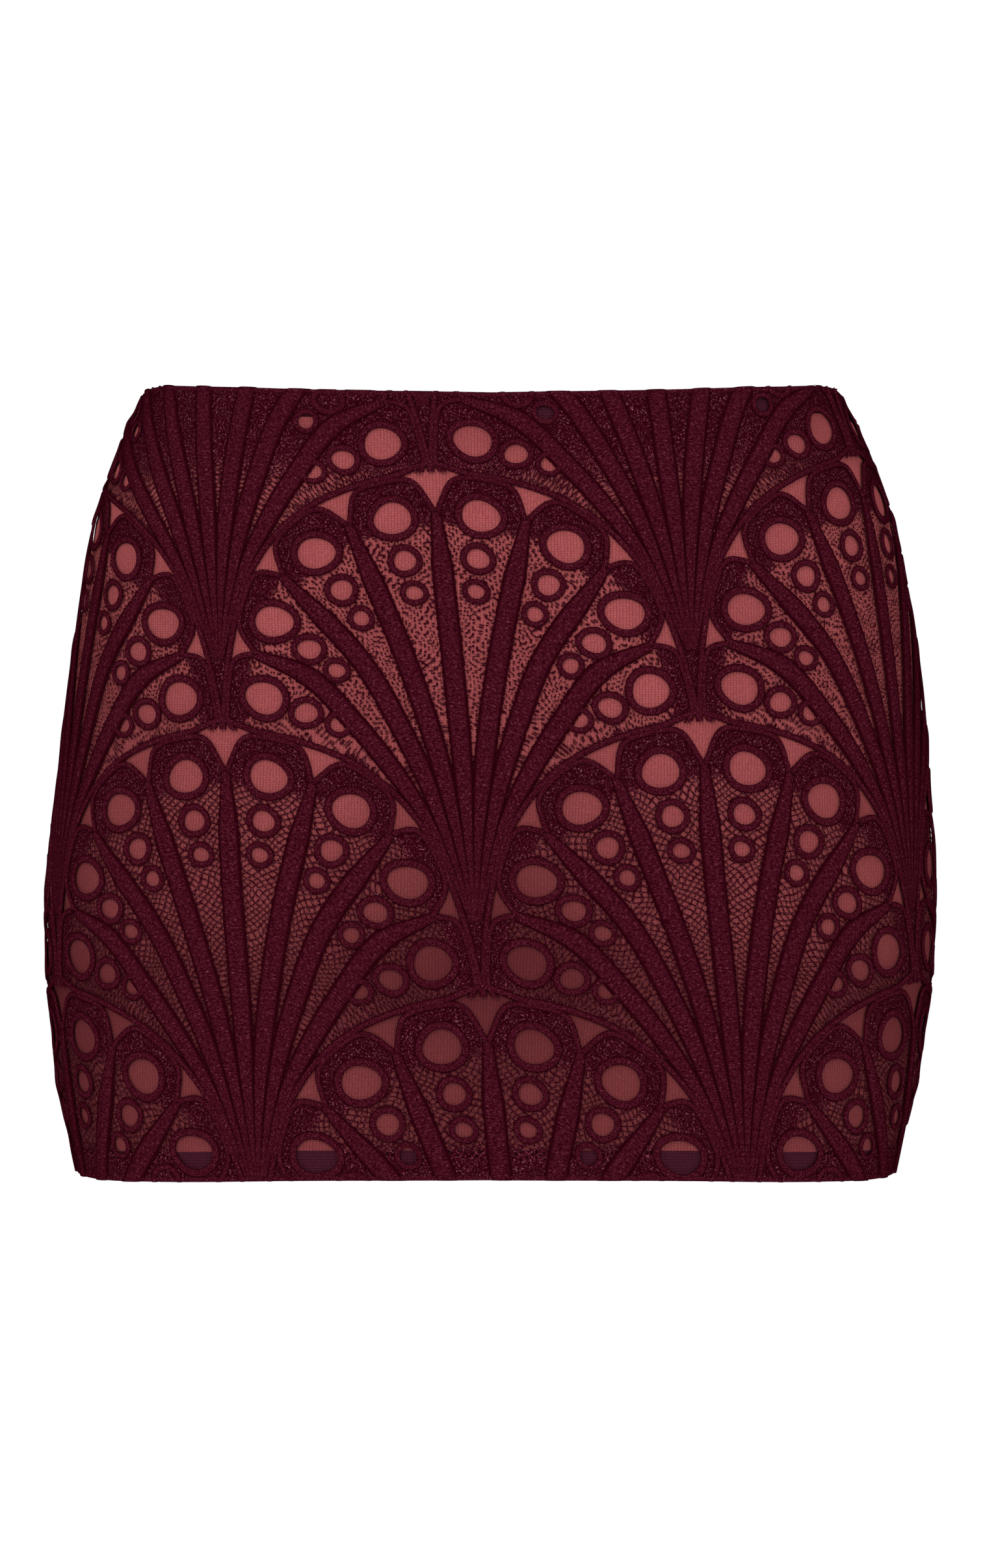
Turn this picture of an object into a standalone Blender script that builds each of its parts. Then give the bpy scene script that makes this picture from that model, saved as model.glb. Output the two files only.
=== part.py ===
"""A lace mini skirt, filled out as it is worn and open at the waist and the hem.

Two lace panels, front and back, are cut from one repeat of overlapping fans, and meet at the side seams.
They lie on two panels of knitted lining. A strip of elastic finishes the lining at the waist and a strip of
tape at the hem. The gaps of the lace are cut through, and its ribs and rims are raised on the outside.

Metres, +Z up. The origin is the middle of the waist opening. The front faces -Y.
On a panel, a place is (along, height): along is measured round the cloth from the panel's own centre line,
to the right of someone who looks at it from outside, and height is the world's Z.
"""

import math
from collections import namedtuple

import bmesh
import bpy
import numpy as np
from mathutils import Vector
from mathutils.geometry import delaunay_2d_cdt

MM = 0.001

# The worn form, measured to the outside of the lace. front and back are the depths from the side seams.
# square is the power of each half's outline: 2 is an ellipse, more is squarer. sway moves the middle to +X.
Section = namedtuple("Section", "height half_breadth front back front_square back_square sway")
SECTIONS = (
    Section(-0.340, 0.1640, 0.099, 0.100, 2.35, 2.20, -0.0022),
    Section(-0.318, 0.1690, 0.101, 0.104, 2.35, 2.20, -0.0022),
    Section(-0.286, 0.1762, 0.104, 0.114, 2.35, 2.15, -0.0018),
    Section(-0.250, 0.1812, 0.107, 0.127, 2.35, 2.15, -0.0010),
    Section(-0.205, 0.1830, 0.109, 0.138, 2.35, 2.15, -0.0004),
    Section(-0.150, 0.1785, 0.110, 0.139, 2.35, 2.15, 0.0012),
    Section(-0.100, 0.1728, 0.107, 0.131, 2.35, 2.20, 0.0016),
    Section(-0.060, 0.1660, 0.103, 0.120, 2.35, 2.20, 0.0012),
    Section(-0.028, 0.1562, 0.099, 0.109, 2.35, 2.25, 0.0006),
    Section(-0.007, 0.1465, 0.096, 0.103, 2.40, 2.30, 0.0002),
    Section(0.012, 0.1375, 0.092, 0.098, 2.40, 2.30, 0.0000),
)

WIDEST = -0.205

# The cut edges, by the share of the way from a panel's centre line to its side seam.
Edge = namedtuple("Edge", "share waist hem")
EDGES = {
    "front": (
        Edge(0.00, -0.0045, -0.3190),
        Edge(0.35, -0.0030, -0.3197),
        Edge(0.62, -0.0005, -0.3213),
        Edge(0.80, 0.0008, -0.3217),
        Edge(0.92, -0.0010, -0.3205),
        Edge(1.00, -0.0060, -0.3190),
    ),
    "back": (
        Edge(0.00, -0.0120, -0.3200),
        Edge(0.50, -0.0105, -0.3200),
        Edge(0.85, -0.0075, -0.3195),
        Edge(1.00, -0.0060, -0.3190),
    ),
}

# Cloth layers, as depths below the outside of the lace's ground.
LACE_THICK = 1.2 * MM
LACE_TO_LINING = 1.0 * MM
LINING_THICK = 1.0 * MM
BAND_THICK = 1.2 * MM
SEAM_GAP = 0.3 * MM
WAIST_BAND = 12 * MM
HEM_BAND = 13 * MM
RIB_RISE = 0.9 * MM
RIM_RISE = 0.5 * MM

# The repeat of fans. A place in it is (side, up), and each row is half a repeat across from the next. A fan's
# own places are measured from its base. Its arch is tabled from its hub, by the degrees from straight up.
REPEAT = 193.5 * MM
ROW_PITCH = 105.5 * MM
HUB_UP = 62.5 * MM
Reach = namedtuple("Reach", "turn distance")
ARCH = (
    Reach(0, 0.1215),
    Reach(15, 0.1210),
    Reach(30, 0.1195),
    Reach(45, 0.1135),
    Reach(60, 0.1045),
    Reach(75, 0.0990),
    Reach(90, 0.0970),
)
PETAL_TURN = 19.9
BASE_TURN = 62
PETALS = (-4, -3, -2, -1, 1, 2, 3, 4)
RIBS = (-3, -2, -1, 0, 1, 2, 3)

# The worn cloth is drawn over the form, so the repeat leans and is wider across the hips than at the waist.
# Its rows bend up to the sides and lie closer at the waist and the hem. The last five are per metre of cloth.
FIRST_BASE_ALONG = -5.7 * MM
FIRST_BASE_HEIGHT = -217 * MM
DRAWN_FROM = 60 * MM
LEAN = 0.109
TILT = 0.014
WIDER_BELOW = 0.177
LEAN_BEND = 0.054
SIDES_UP = 0.084
ROWS_CLOSER = 0.244
SHEAR = 0.117

# The two larger eyelets of a petal, from its tip inwards. inset is from the arch to the eyelet's centre. The
# third, 7 mm across, is left out.
Eyelet = namedtuple("Eyelet", "name inset half_wide half_high corners")
EYELETS = (
    Eyelet("large", 17.2 * MM, 7.8 * MM, 6.6 * MM, 8),
    Eyelet("medium", 35.3 * MM, 4.7 * MM, 3.9 * MM, 6),
)
MOST_GAPS = 300

# Windows lie between two petal tips, under the arch. A row for each place from the middle one outwards.
Window = namedtuple("Window", "depth half_turn")
WINDOWS = (
    Window(16.5 * MM, 5.3),
    Window(14.0 * MM, 5.2),
    Window(12.5 * MM, 4.5),
    Window(11.5 * MM, 4.5),
)
MIDDLE_WINDOW_PEAK = 4.5 * MM

# Ribs run from the notch under a window down to the fan's base: how far each one's middle is from the fan's.
RibPlace = namedtuple("RibPlace", "up first second third")
RIB_PLACES = (
    RibPlace(0.100, 0.0169, 0.0330, 0.0590),
    RibPlace(0.080, 0.0120, 0.0238, 0.0410),
    RibPlace(0.060, 0.0080, 0.0158, 0.0265),
    RibPlace(0.040, 0.0048, 0.0098, 0.0148),
    RibPlace(0.020, 0.0023, 0.0048, 0.0072),
    RibPlace(0.002, 0.0006, 0.0012, 0.0018),
)
RIB_HALF_WIDE = 4.0 * MM
RIB_TIP_HALF_WIDE = 1.8 * MM
CREST_PLACES = (0.03, 0.2, 0.36, 0.52, 0.68, 0.86)
VALLEY_PLACES = (0.34, 0.5, 0.66)

# How finely the cloth is divided.
EDGE_STEP = 14 * MM
FILL_ALONG = 14 * MM
FILL_HEIGHT = 20 * MM
FILL_CLEAR = 6.5 * MM
HOLE_MARGIN = 3.0 * MM
LINE_MARGIN = 3.5 * MM
LINING_COLUMNS = 28
LINING_ROWS = 9
BAND_COLUMNS = 28
SEAM_CROWDING = 0.45

BURGUNDY = (0.070, 0.010, 0.022)
RUST = (0.30, 0.075, 0.060)
PLUM = (0.085, 0.018, 0.040)


# --- the worn form ---


def smooth_read(at, places, values):
    """The values of a table at some places, along a smooth curve through its rows."""
    places, values = np.asarray(places, float), np.asarray(values, float)
    slopes = np.gradient(values, places)
    i = np.clip(np.searchsorted(places, at) - 1, 0, len(places) - 2)
    span = places[i + 1] - places[i]
    t = np.clip((at - places[i]) / span, 0.0, 1.0)
    start = values[i] * (1 + 2 * t) + slopes[i] * span * t
    end = values[i + 1] * (3 - 2 * t) + slopes[i + 1] * span * (t - 1)
    return start * (1 - t) ** 2 + end * t**2


def section_value(field, heights):
    return smooth_read(heights, [s.height for s in SECTIONS], [getattr(s, field) for s in SECTIONS])


class Half:
    """The front or back half of the worn form, tabled by height and by share of the way to its side seam."""

    LEVELS = np.linspace(SECTIONS[0].height, SECTIONS[-1].height, 89)
    SHARES = np.linspace(0, 1, 101)
    TURNS = np.linspace(0, math.pi / 2, 721)

    def __init__(self, name):
        self.name = name
        self.facing = -1 if name == "front" else 1
        breadths = section_value("half_breadth", self.LEVELS)
        depths = section_value(name, self.LEVELS)
        powers = 2 / section_value(name + "_square", self.LEVELS)
        self.lengths, self.out, self.deep = [], [], []
        for breadth, depth, power in zip(breadths, depths, powers):
            x = breadth * np.sin(self.TURNS) ** power
            y = depth * np.clip(np.cos(self.TURNS), 0, 1) ** power
            run = np.concatenate([[0], np.cumsum(np.hypot(np.diff(x), np.diff(y)))])
            self.lengths.append(run[-1])
            self.out.append(np.interp(self.SHARES, run / run[-1], x))
            self.deep.append(np.interp(self.SHARES, run / run[-1], y))
        self.out, self.deep = np.array(self.out), np.array(self.deep)
        self.sway = section_value("sway", self.LEVELS)

    def half_width(self, heights):
        """The cloth from the centre line to the side seam, measured round the form."""
        return np.interp(heights, self.LEVELS, self.lengths)

    def edge(self, name, shares):
        rows = EDGES[self.name]
        return smooth_read(np.abs(shares), [r.share for r in rows], [getattr(r, name) for r in rows])

    def on_form(self, along, height):
        share = np.clip(np.abs(along) / self.half_width(height), 0, 1) * (len(self.SHARES) - 1)
        level = np.interp(height, self.LEVELS, np.arange(len(self.LEVELS)))
        i = np.minimum(level.astype(int), len(self.LEVELS) - 2)
        j = np.minimum(share.astype(int), len(self.SHARES) - 2)
        a, b = level - i, share - j

        def blended(table):
            low = table[i, j] * (1 - b) + table[i, j + 1] * b
            high = table[i + 1, j] * (1 - b) + table[i + 1, j + 1] * b
            return low * (1 - a) + high * a

        side = np.sign(along) * -self.facing
        x = side * blended(self.out) + np.interp(height, self.LEVELS, self.sway)
        return np.stack([x, self.facing * blended(self.deep), height], axis=-1)

    def place(self, along, height, rise):
        """Points of the cloth, moved out from the form by rise."""
        along, height = np.asarray(along, float), np.asarray(height, float)
        small = 1.0 * MM
        across = self.on_form(along + small, height) - self.on_form(along - small, height)
        upward = self.on_form(along, height + small) - self.on_form(along, height - small)
        normal = np.cross(across, upward)
        normal /= np.linalg.norm(normal, axis=-1, keepdims=True)
        return self.on_form(along, height) + normal * np.asarray(rise)[..., None]

    def inside(self, along, height, margin):
        """True where a place is on this panel and at least margin from its cut edges."""
        share = along / self.half_width(height)
        clear_of_seam = np.abs(along) < self.half_width(height) - margin
        above_hem = height > self.edge("hem", share) + margin
        return clear_of_seam & above_hem & (height < self.edge("waist", share) - margin)


# --- the repeat of fans ---


def arch_distance(turn):
    """From the hub to the arch, in the direction that turns this many degrees from straight up."""
    return smooth_read(abs(turn), [r.turn for r in ARCH], [r.distance for r in ARCH])


def from_hub(turn, distance):
    angle = math.radians(turn)
    return np.array([distance * math.sin(angle), HUB_UP + distance * math.cos(angle)])


def petal_turn(petal):
    return (abs(petal) - 0.5) * math.copysign(PETAL_TURN, petal)


def eyelet_outline(petal, eyelet):
    turn = petal_turn(petal)
    centre = from_hub(turn, arch_distance(turn) - eyelet.inset)
    turns = (np.arange(eyelet.corners) + 0.5) * 2 * math.pi / eyelet.corners
    return centre + np.stack([eyelet.half_wide * np.cos(turns), eyelet.half_high * np.sin(turns)], axis=-1)


def notch(rib):
    turn = rib * PETAL_TURN
    return from_hub(turn, arch_distance(turn) - WINDOWS[abs(rib)].depth)


def window_outline(rib):
    """The gap between two petal tips and the arch over them."""
    turn, half_turn = rib * PETAL_TURN, WINDOWS[abs(rib)].half_turn
    if rib == 0:
        steps, peak = (1, 0, -1), (0, MIDDLE_WINDOW_PEAK, 0)
    else:
        steps, peak = (1, 0.33, -0.33, -1), (0, 0, 0, 0)
    turns = [turn + step * half_turn for step in steps]
    return np.array([notch(rib), *(from_hub(t, arch_distance(t) + p) for t, p in zip(turns, peak))])


def rib_line(rib, t):
    """Points of a rib's middle, from its notch at t = 0 to the fan's base at t = 1."""
    lower = [(math.copysign(row[abs(rib)], rib) if rib else 0.0, row.up) for row in RIB_PLACES]
    places = np.array([notch(rib), *lower])
    run = np.concatenate([[0], np.cumsum(np.linalg.norm(np.diff(places, axis=0), axis=1))])
    along = np.asarray(t, float) * run[-1]
    return np.stack([smooth_read(along, run, places[:, 0]), smooth_read(along, run, places[:, 1])], axis=-1)


def outer_line(side, t):
    """A fan's edge along the arch of the fan below, side -1 or 1, from its last petal's tip to its base."""
    turns = np.asarray(t, float) * BASE_TURN
    below = np.array([from_hub(-side * turn, arch_distance(turn)) for turn in turns])
    return below + [side * REPEAT / 2, -ROW_PITCH]


def valley_line(petal, t):
    """The middle of a petal's net, between its two ribs."""
    side = 1 if petal > 0 else -1
    inner = rib_line(petal - side, t)
    outer = rib_line(petal, t) if abs(petal) < len(PETALS) / 2 else outer_line(side, t)
    return (inner + outer) / 2


def fan_bases(half):
    """Where the fans of a panel have their bases in the repeat, a row beyond each of its edges included."""
    reach = half.half_width(WIDEST) + REPEAT * 0.6
    bases = []
    for row in range(-2, 4):
        for column in range(-2, 3):
            side = (column + (row % 2) / 2) * REPEAT
            if abs(side) < reach:
                bases.append(np.array([side, row * ROW_PITCH]))
    return bases


def on_cloth(base, points):
    """A fan's own places as places on the panel."""
    side, up = (base + np.asarray(points)).T
    above = up - DRAWN_FROM
    along = FIRST_BASE_ALONG + side * (1 - WIDER_BELOW * above) - LEAN * up + LEAN_BEND * above**2
    higher = TILT * side + SIDES_UP * side**2 - ROWS_CLOSER * above**2 + SHEAR * side * above
    return np.stack([along, FIRST_BASE_HEIGHT + up + higher], axis=-1)


def lace_gaps(halves):
    """The gaps to cut in each panel, windows and large eyelets first, up to MOST_GAPS in all."""
    kinds = [[window_outline(rib) for rib in RIBS]]
    kinds += [[eyelet_outline(petal, eyelet) for petal in PETALS] for eyelet in EYELETS]
    gaps = {half.name: [] for half in halves}
    for outlines in kinds:
        for half in halves:
            for base in fan_bases(half):
                for outline in outlines:
                    placed = on_cloth(base, outline)
                    room = sum(map(len, gaps.values())) < MOST_GAPS
                    if room and half.inside(placed[:, 0], placed[:, 1], HOLE_MARGIN).all():
                        gaps[half.name].append(placed)
    return gaps


def relief_lines(half):
    """Crest lines along the ribs and valley lines along the net between them, inside the panel."""
    lines = []
    for base in fan_bases(half):
        own = [rib_line(rib, CREST_PLACES) for rib in RIBS]
        own += [valley_line(petal, VALLEY_PLACES) for petal in PETALS]
        for line in own:
            placed = on_cloth(base, line)
            keep = half.inside(placed[:, 0], placed[:, 1], LINE_MARGIN)
            if keep.sum() > 1:
                lines.append(placed[keep])
    return lines


def rib_relief(half, places):
    """How far the outside of the lace stands out at each place: RIB_RISE on a rib's middle, none off it."""
    rise = np.zeros(len(places))
    steps = np.linspace(0, 1, 25)
    half_wide = RIB_TIP_HALF_WIDE + (RIB_HALF_WIDE - RIB_TIP_HALF_WIDE) * np.minimum(1, steps * 4)
    for base in fan_bases(half):
        middle = on_cloth(base, [[0, HUB_UP]])
        near = np.flatnonzero(np.abs(places - middle).max(axis=1) < REPEAT * 0.7)
        if not len(near):
            continue
        for rib in RIBS:
            line = on_cloth(base, rib_line(rib, steps))
            apart = np.linalg.norm(places[near, None] - line[None], axis=2)
            share = np.clip(1 - apart / half_wide, 0, 1).max(axis=1)
            rise[near] = np.maximum(rise[near], RIB_RISE * np.minimum(1, share * 1.3))
    return rise


# --- making cloth ---


def panel_outline(half):
    """The cut edge of a panel, as places, anticlockwise from outside."""
    seams = np.linspace(0, 1, 1 + round(-EDGES[half.name][0].hem / EDGE_STEP))
    shares = closer_at_seams(round(2 * half.half_width(WIDEST) / EDGE_STEP))
    low = [(share, half.edge("hem", share)) for share in shares]
    high = [(share, half.edge("waist", share)) for share in shares[::-1]]
    right = [(1, low[-1][1] + s * (high[0][1] - low[-1][1])) for s in seams[1:-1]]
    left = [(-1, height) for _, height in reversed(right)]
    sides = np.array(low + right + high + left, float)
    width = half.half_width(sides[:, 1]) - SEAM_GAP / 2
    return np.stack([sides[:, 0] * width, sides[:, 1]], axis=-1)


def fill_places(half, taken):
    """A plain grid of places that keeps the cloth round where the lace has no other points."""
    reach = half.half_width(WIDEST)
    found = []
    for row, height in enumerate(np.arange(-0.32, 0, FILL_HEIGHT)):
        for along in np.arange(-reach, reach, FILL_ALONG) + (row % 2) * FILL_ALONG / 2:
            place = np.array([along, height])
            clear = np.linalg.norm(taken - place, axis=1).min() > FILL_CLEAR
            if clear and half.inside(along, height, LINE_MARGIN):
                found.append(place)
    return np.array(found)


def divide(outline, gaps, lines, loose):
    """The places and the triangles that fill an outline but for its gaps, with an edge along each line."""
    places, edges, loops = [], [], []
    for loop in [outline, *gaps]:
        loops.append(list(range(len(places), len(places) + len(loop))))
        places.extend(loop)
    for line in lines:
        edges += [(len(places) + i, len(places) + i + 1) for i in range(len(line) - 1)]
        places.extend(line)
    places.extend(loose)
    scaled = [Vector((x / MM, y / MM)) for x, y in places]
    found, _, triangles, _, _, sources = delaunay_2d_cdt(scaled, edges, loops, 1, 1e-4)
    kept = [face for face, source in zip(triangles, sources) if list(source) == [0]]
    return np.array([tuple(v) for v in found]) * MM, kept


def rim_edges(triangles):
    """The edges of some triangles that only one of them has, each in that triangle's direction."""
    directed = {(t[i], t[(i + 1) % 3]) for t in triangles for i in range(3)}
    return [(a, b) for a, b in directed if (b, a) not in directed]


def solid_object(name, collection, material, bm):
    bmesh.ops.remove_doubles(bm, verts=bm.verts, dist=1e-7)
    bmesh.ops.recalc_face_normals(bm, faces=bm.faces)
    mesh = bpy.data.meshes.new(name)
    bm.to_mesh(mesh)
    bm.free()
    mesh.materials.append(material)
    mesh.shade_smooth()
    mesh.set_sharp_from_angle(angle=math.radians(40))
    made = bpy.data.objects.new(name, mesh)
    collection.objects.link(made)
    return made


def lace_panel(half, gaps, collection, material):
    """A lace panel, cut through at its gaps, raised outside along its ribs and rims, and plain inside."""
    outline = panel_outline(half)
    lines = relief_lines(half)
    rims = np.concatenate([outline, *gaps])
    outer, outer_triangles = divide(outline, gaps, lines, fill_places(half, np.concatenate([rims, *lines])))
    inner, inner_triangles = divide(outline, gaps, [], fill_places(half, rims))

    rise = rib_relief(half, outer)
    gap_keys = {tuple(np.round(place / MM, 3)) for gap in gaps for place in gap}
    on_rim = np.array([tuple(np.round(place / MM, 3)) in gap_keys for place in outer])
    rise[on_rim] = np.maximum(rise[on_rim], RIM_RISE)

    bm = bmesh.new()
    outside = [bm.verts.new(p) for p in half.place(outer[:, 0], outer[:, 1], rise)]
    depth = np.full(len(inner), -LACE_THICK)
    inside = [bm.verts.new(p) for p in half.place(inner[:, 0], inner[:, 1], depth)]
    for a, b, c in outer_triangles:
        bm.faces.new((outside[a], outside[b], outside[c]))
    for a, b, c in inner_triangles:
        bm.faces.new((inside[c], inside[b], inside[a]))
    below = {tuple(np.round(place / MM, 3)): vert for place, vert in zip(inner, inside)}
    for a, b in rim_edges(outer_triangles):
        deep_a, deep_b = (below[tuple(np.round(outer[i] / MM, 3))] for i in (a, b))
        bm.faces.new((outside[b], outside[a], deep_a, deep_b))
    return solid_object("lace_" + half.name, collection, material, bm)


def wall(bm, rows, closed):
    """A cloth wall. rows holds, from low to high, the outside and the inside points of each row."""
    made = [[[bm.verts.new(p) for p in side] for side in row] for row in rows]
    count = len(made[0][0])
    steps = [(i, (i + 1) % count) for i in range(count if closed else count - 1)]
    for low, high in zip(made, made[1:]):
        for i, j in steps:
            bm.faces.new((low[0][i], low[0][j], high[0][j], high[0][i]))
            bm.faces.new((low[1][j], low[1][i], high[1][i], high[1][j]))
        if not closed:
            for i in (0, count - 1):
                bm.faces.new((low[0][i], high[0][i], high[1][i], low[1][i]))
    for row in (made[0], made[-1]):
        for i, j in steps:
            bm.faces.new((row[0][i], row[0][j], row[1][j], row[1][i]))


def closer_at_seams(count):
    """Shares from seam to seam, closer together where the form turns."""
    even = np.linspace(-1, 1, count + 1)
    return (1 - SEAM_CROWDING) * even + SEAM_CROWDING * np.sin(even * math.pi / 2)


def lining_panel(half, collection, material):
    """A plain panel of lining, between the elastic and the hem tape."""
    shares = closer_at_seams(LINING_COLUMNS)
    low = half.edge("hem", shares) + HEM_BAND + SEAM_GAP
    high = half.edge("waist", shares) - WAIST_BAND - SEAM_GAP
    depth = LACE_THICK + LACE_TO_LINING
    rows = []
    for step in np.linspace(0, 1, LINING_ROWS + 1):
        heights = low + step * (high - low)
        along = shares * (half.half_width(heights) - SEAM_GAP / 2)
        faces = [np.full(len(along), -d) for d in (depth, depth + LINING_THICK)]
        rows.append([half.place(along, heights, face) for face in faces])
    bm = bmesh.new()
    wall(bm, rows, closed=False)
    return solid_object("lining_" + half.name, collection, material, bm)


def band(name, halves, edge, from_edge, collection, material):
    """A closed strip round the whole skirt. from_edge is its two edges, up from the waist or the hem."""
    shares = closer_at_seams(BAND_COLUMNS)[:-1]
    depth = LACE_THICK + LACE_TO_LINING
    rows = []
    for offset in from_edge:
        sides = [[], []]
        for half in halves:
            heights = half.edge(edge, shares) + offset
            along = shares * half.half_width(heights)
            for side, d in zip(sides, (depth, depth + BAND_THICK)):
                side.extend(half.place(along, heights, np.full(len(along), -d)))
        rows.append(sides)
    bm = bmesh.new()
    wall(bm, rows, closed=True)
    return solid_object(name, collection, material, bm)


def cloth_material(name, colour, roughness):
    material = bpy.data.materials.new(name)
    material.use_nodes = True
    shader = material.node_tree.nodes["Principled BSDF"]
    shader.inputs["Base Color"].default_value = (*colour, 1)
    shader.inputs["Roughness"].default_value = roughness
    shader.inputs["Metallic"].default_value = 0.0
    material.diffuse_color = (*colour, 1)
    return material


def main():
    for old in list(bpy.data.objects):
        bpy.data.objects.remove(old)
    collection = bpy.data.collections.new("lace_mini_skirt")
    bpy.context.scene.collection.children.link(collection)
    lace = cloth_material("lace", BURGUNDY, 0.85)
    lining = cloth_material("lining_knit", RUST, 0.8)
    trim = cloth_material("elastic_and_tape", PLUM, 0.7)

    halves = [Half("front"), Half("back")]
    gaps = lace_gaps(halves)
    for half in halves:
        lace_panel(half, gaps[half.name], collection, lace)
        lining_panel(half, collection, lining)
    band("waist_elastic", halves, "waist", (-WAIST_BAND, 0.0), collection, trim)
    band("hem_tape", halves, "hem", (0.0, HEM_BAND), collection, trim)


main()
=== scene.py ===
"""Looks of a lace mini skirt: corded fan lace over a fine knit lining, filled out as it is worn.

Metres, +Z up. The origin is the middle of the waist opening, and the front faces -Y.
A place on a panel is (along, height): along is measured round the cloth from the panel's own centre line,
to the right of someone who looks at it from outside, and height is the world's Z. A place in the lace's
repeat is (side, up). A rise is how far something stands out from the outside of the lace's ground.
"""

import math
from collections import namedtuple

import bpy
import numpy as np
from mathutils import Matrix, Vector
from mathutils.geometry import delaunay_2d_cdt
from mathutils.kdtree import KDTree


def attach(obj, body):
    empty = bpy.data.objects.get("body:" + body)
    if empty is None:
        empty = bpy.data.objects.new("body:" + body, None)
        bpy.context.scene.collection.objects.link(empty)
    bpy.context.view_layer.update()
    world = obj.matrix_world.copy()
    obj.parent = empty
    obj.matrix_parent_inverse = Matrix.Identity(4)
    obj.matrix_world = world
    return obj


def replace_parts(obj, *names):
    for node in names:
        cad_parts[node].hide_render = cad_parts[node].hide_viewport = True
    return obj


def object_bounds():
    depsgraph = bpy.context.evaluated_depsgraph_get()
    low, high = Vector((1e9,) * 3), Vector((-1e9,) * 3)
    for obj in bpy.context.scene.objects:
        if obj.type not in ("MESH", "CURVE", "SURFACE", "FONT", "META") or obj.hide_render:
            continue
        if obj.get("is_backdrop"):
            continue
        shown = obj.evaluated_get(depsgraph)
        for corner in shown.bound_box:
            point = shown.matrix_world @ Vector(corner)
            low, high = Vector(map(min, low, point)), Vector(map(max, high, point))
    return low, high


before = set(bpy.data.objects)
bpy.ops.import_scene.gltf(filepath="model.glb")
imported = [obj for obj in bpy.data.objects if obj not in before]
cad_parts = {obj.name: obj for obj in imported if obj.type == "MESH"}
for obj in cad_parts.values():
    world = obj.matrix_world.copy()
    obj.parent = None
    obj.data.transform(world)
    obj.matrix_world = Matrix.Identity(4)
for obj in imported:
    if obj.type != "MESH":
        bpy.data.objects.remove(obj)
CAD_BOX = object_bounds()

bl_info = {
    "name": "Lace Mini Skirt",
    "version": (1, 0, 0),
    "blender": (4, 5, 0),
    "location": "View3D > Sidebar > Lace Skirt",
    "description": "Builds a corded fan lace mini skirt over its knit lining",
    "category": "Object",
}

MM = 0.001

# The worn form, measured to the outside of the lace. front and back are the depths from the side seams.
# square is the power of each half's outline: 2 is an ellipse, more is squarer. sway moves the middle to +X.
Section = namedtuple("Section", "height half_breadth front back front_square back_square sway")
SECTIONS = (
    Section(-0.340, 0.1640, 0.099, 0.100, 2.35, 2.20, -0.0022),
    Section(-0.318, 0.1690, 0.101, 0.104, 2.35, 2.20, -0.0022),
    Section(-0.286, 0.1762, 0.104, 0.114, 2.35, 2.15, -0.0018),
    Section(-0.250, 0.1812, 0.107, 0.127, 2.35, 2.15, -0.0010),
    Section(-0.205, 0.1830, 0.109, 0.138, 2.35, 2.15, -0.0004),
    Section(-0.150, 0.1785, 0.110, 0.139, 2.35, 2.15, 0.0012),
    Section(-0.100, 0.1728, 0.107, 0.131, 2.35, 2.20, 0.0016),
    Section(-0.060, 0.1660, 0.103, 0.120, 2.35, 2.20, 0.0012),
    Section(-0.028, 0.1562, 0.099, 0.109, 2.35, 2.25, 0.0006),
    Section(-0.007, 0.1465, 0.096, 0.103, 2.40, 2.30, 0.0002),
    Section(0.012, 0.1375, 0.092, 0.098, 2.40, 2.30, 0.0000),
)
SECTION_COLUMNS = {
    "front": ("half_breadth", "front", "front_square", "sway"),
    "back": ("half_breadth", "back", "back_square", "sway"),
}
WIDEST = -0.205

# The cut edges, by the share of the way from a panel's centre line to its side seam.
Edge = namedtuple("Edge", "share waist hem")
EDGES = {
    "front": (
        Edge(0.00, -0.0045, -0.3190),
        Edge(0.35, -0.0030, -0.3197),
        Edge(0.62, -0.0005, -0.3213),
        Edge(0.80, 0.0008, -0.3217),
        Edge(0.92, -0.0010, -0.3205),
        Edge(1.00, -0.0060, -0.3190),
    ),
    "back": (
        Edge(0.00, -0.0120, -0.3200),
        Edge(0.50, -0.0105, -0.3200),
        Edge(0.85, -0.0075, -0.3195),
        Edge(1.00, -0.0060, -0.3190),
    ),
}

# Small puckers along each side seam, from the waist down.
Pucker = namedtuple("Pucker", "height rise half_long")
PUCKERS = (
    Pucker(-0.013, 1.0 * MM, 4 * MM),
    Pucker(-0.036, -0.5 * MM, 7 * MM),
    Pucker(-0.053, 0.8 * MM, 5 * MM),
    Pucker(-0.081, -0.5 * MM, 8 * MM),
    Pucker(-0.104, 0.5 * MM, 6 * MM),
    Pucker(-0.139, 0.4 * MM, 9 * MM),
    Pucker(-0.171, -0.4 * MM, 7 * MM),
    Pucker(-0.206, 0.4 * MM, 8 * MM),
    Pucker(-0.238, 0.5 * MM, 6 * MM),
    Pucker(-0.262, -0.6 * MM, 6 * MM),
    Pucker(-0.284, 0.7 * MM, 5 * MM),
    Pucker(-0.305, -0.6 * MM, 5 * MM),
)
PUCKER_FROM_SHARE = 0.90

# Cloth layers, as depths below the outside of the lace's ground. The lining is tucked behind the strips.
NET_DEPTH = 0.25 * MM
LINING_DEPTH = 0.9 * MM
STRIP_DEPTH = 1.1 * MM
STRIP_THICK = 1.2 * MM
WAIST_BAND = 12 * MM
HEM_BAND = 13 * MM
LINING_TUCK = 1 * MM
SEAM_GAP = 0.3 * MM

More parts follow.
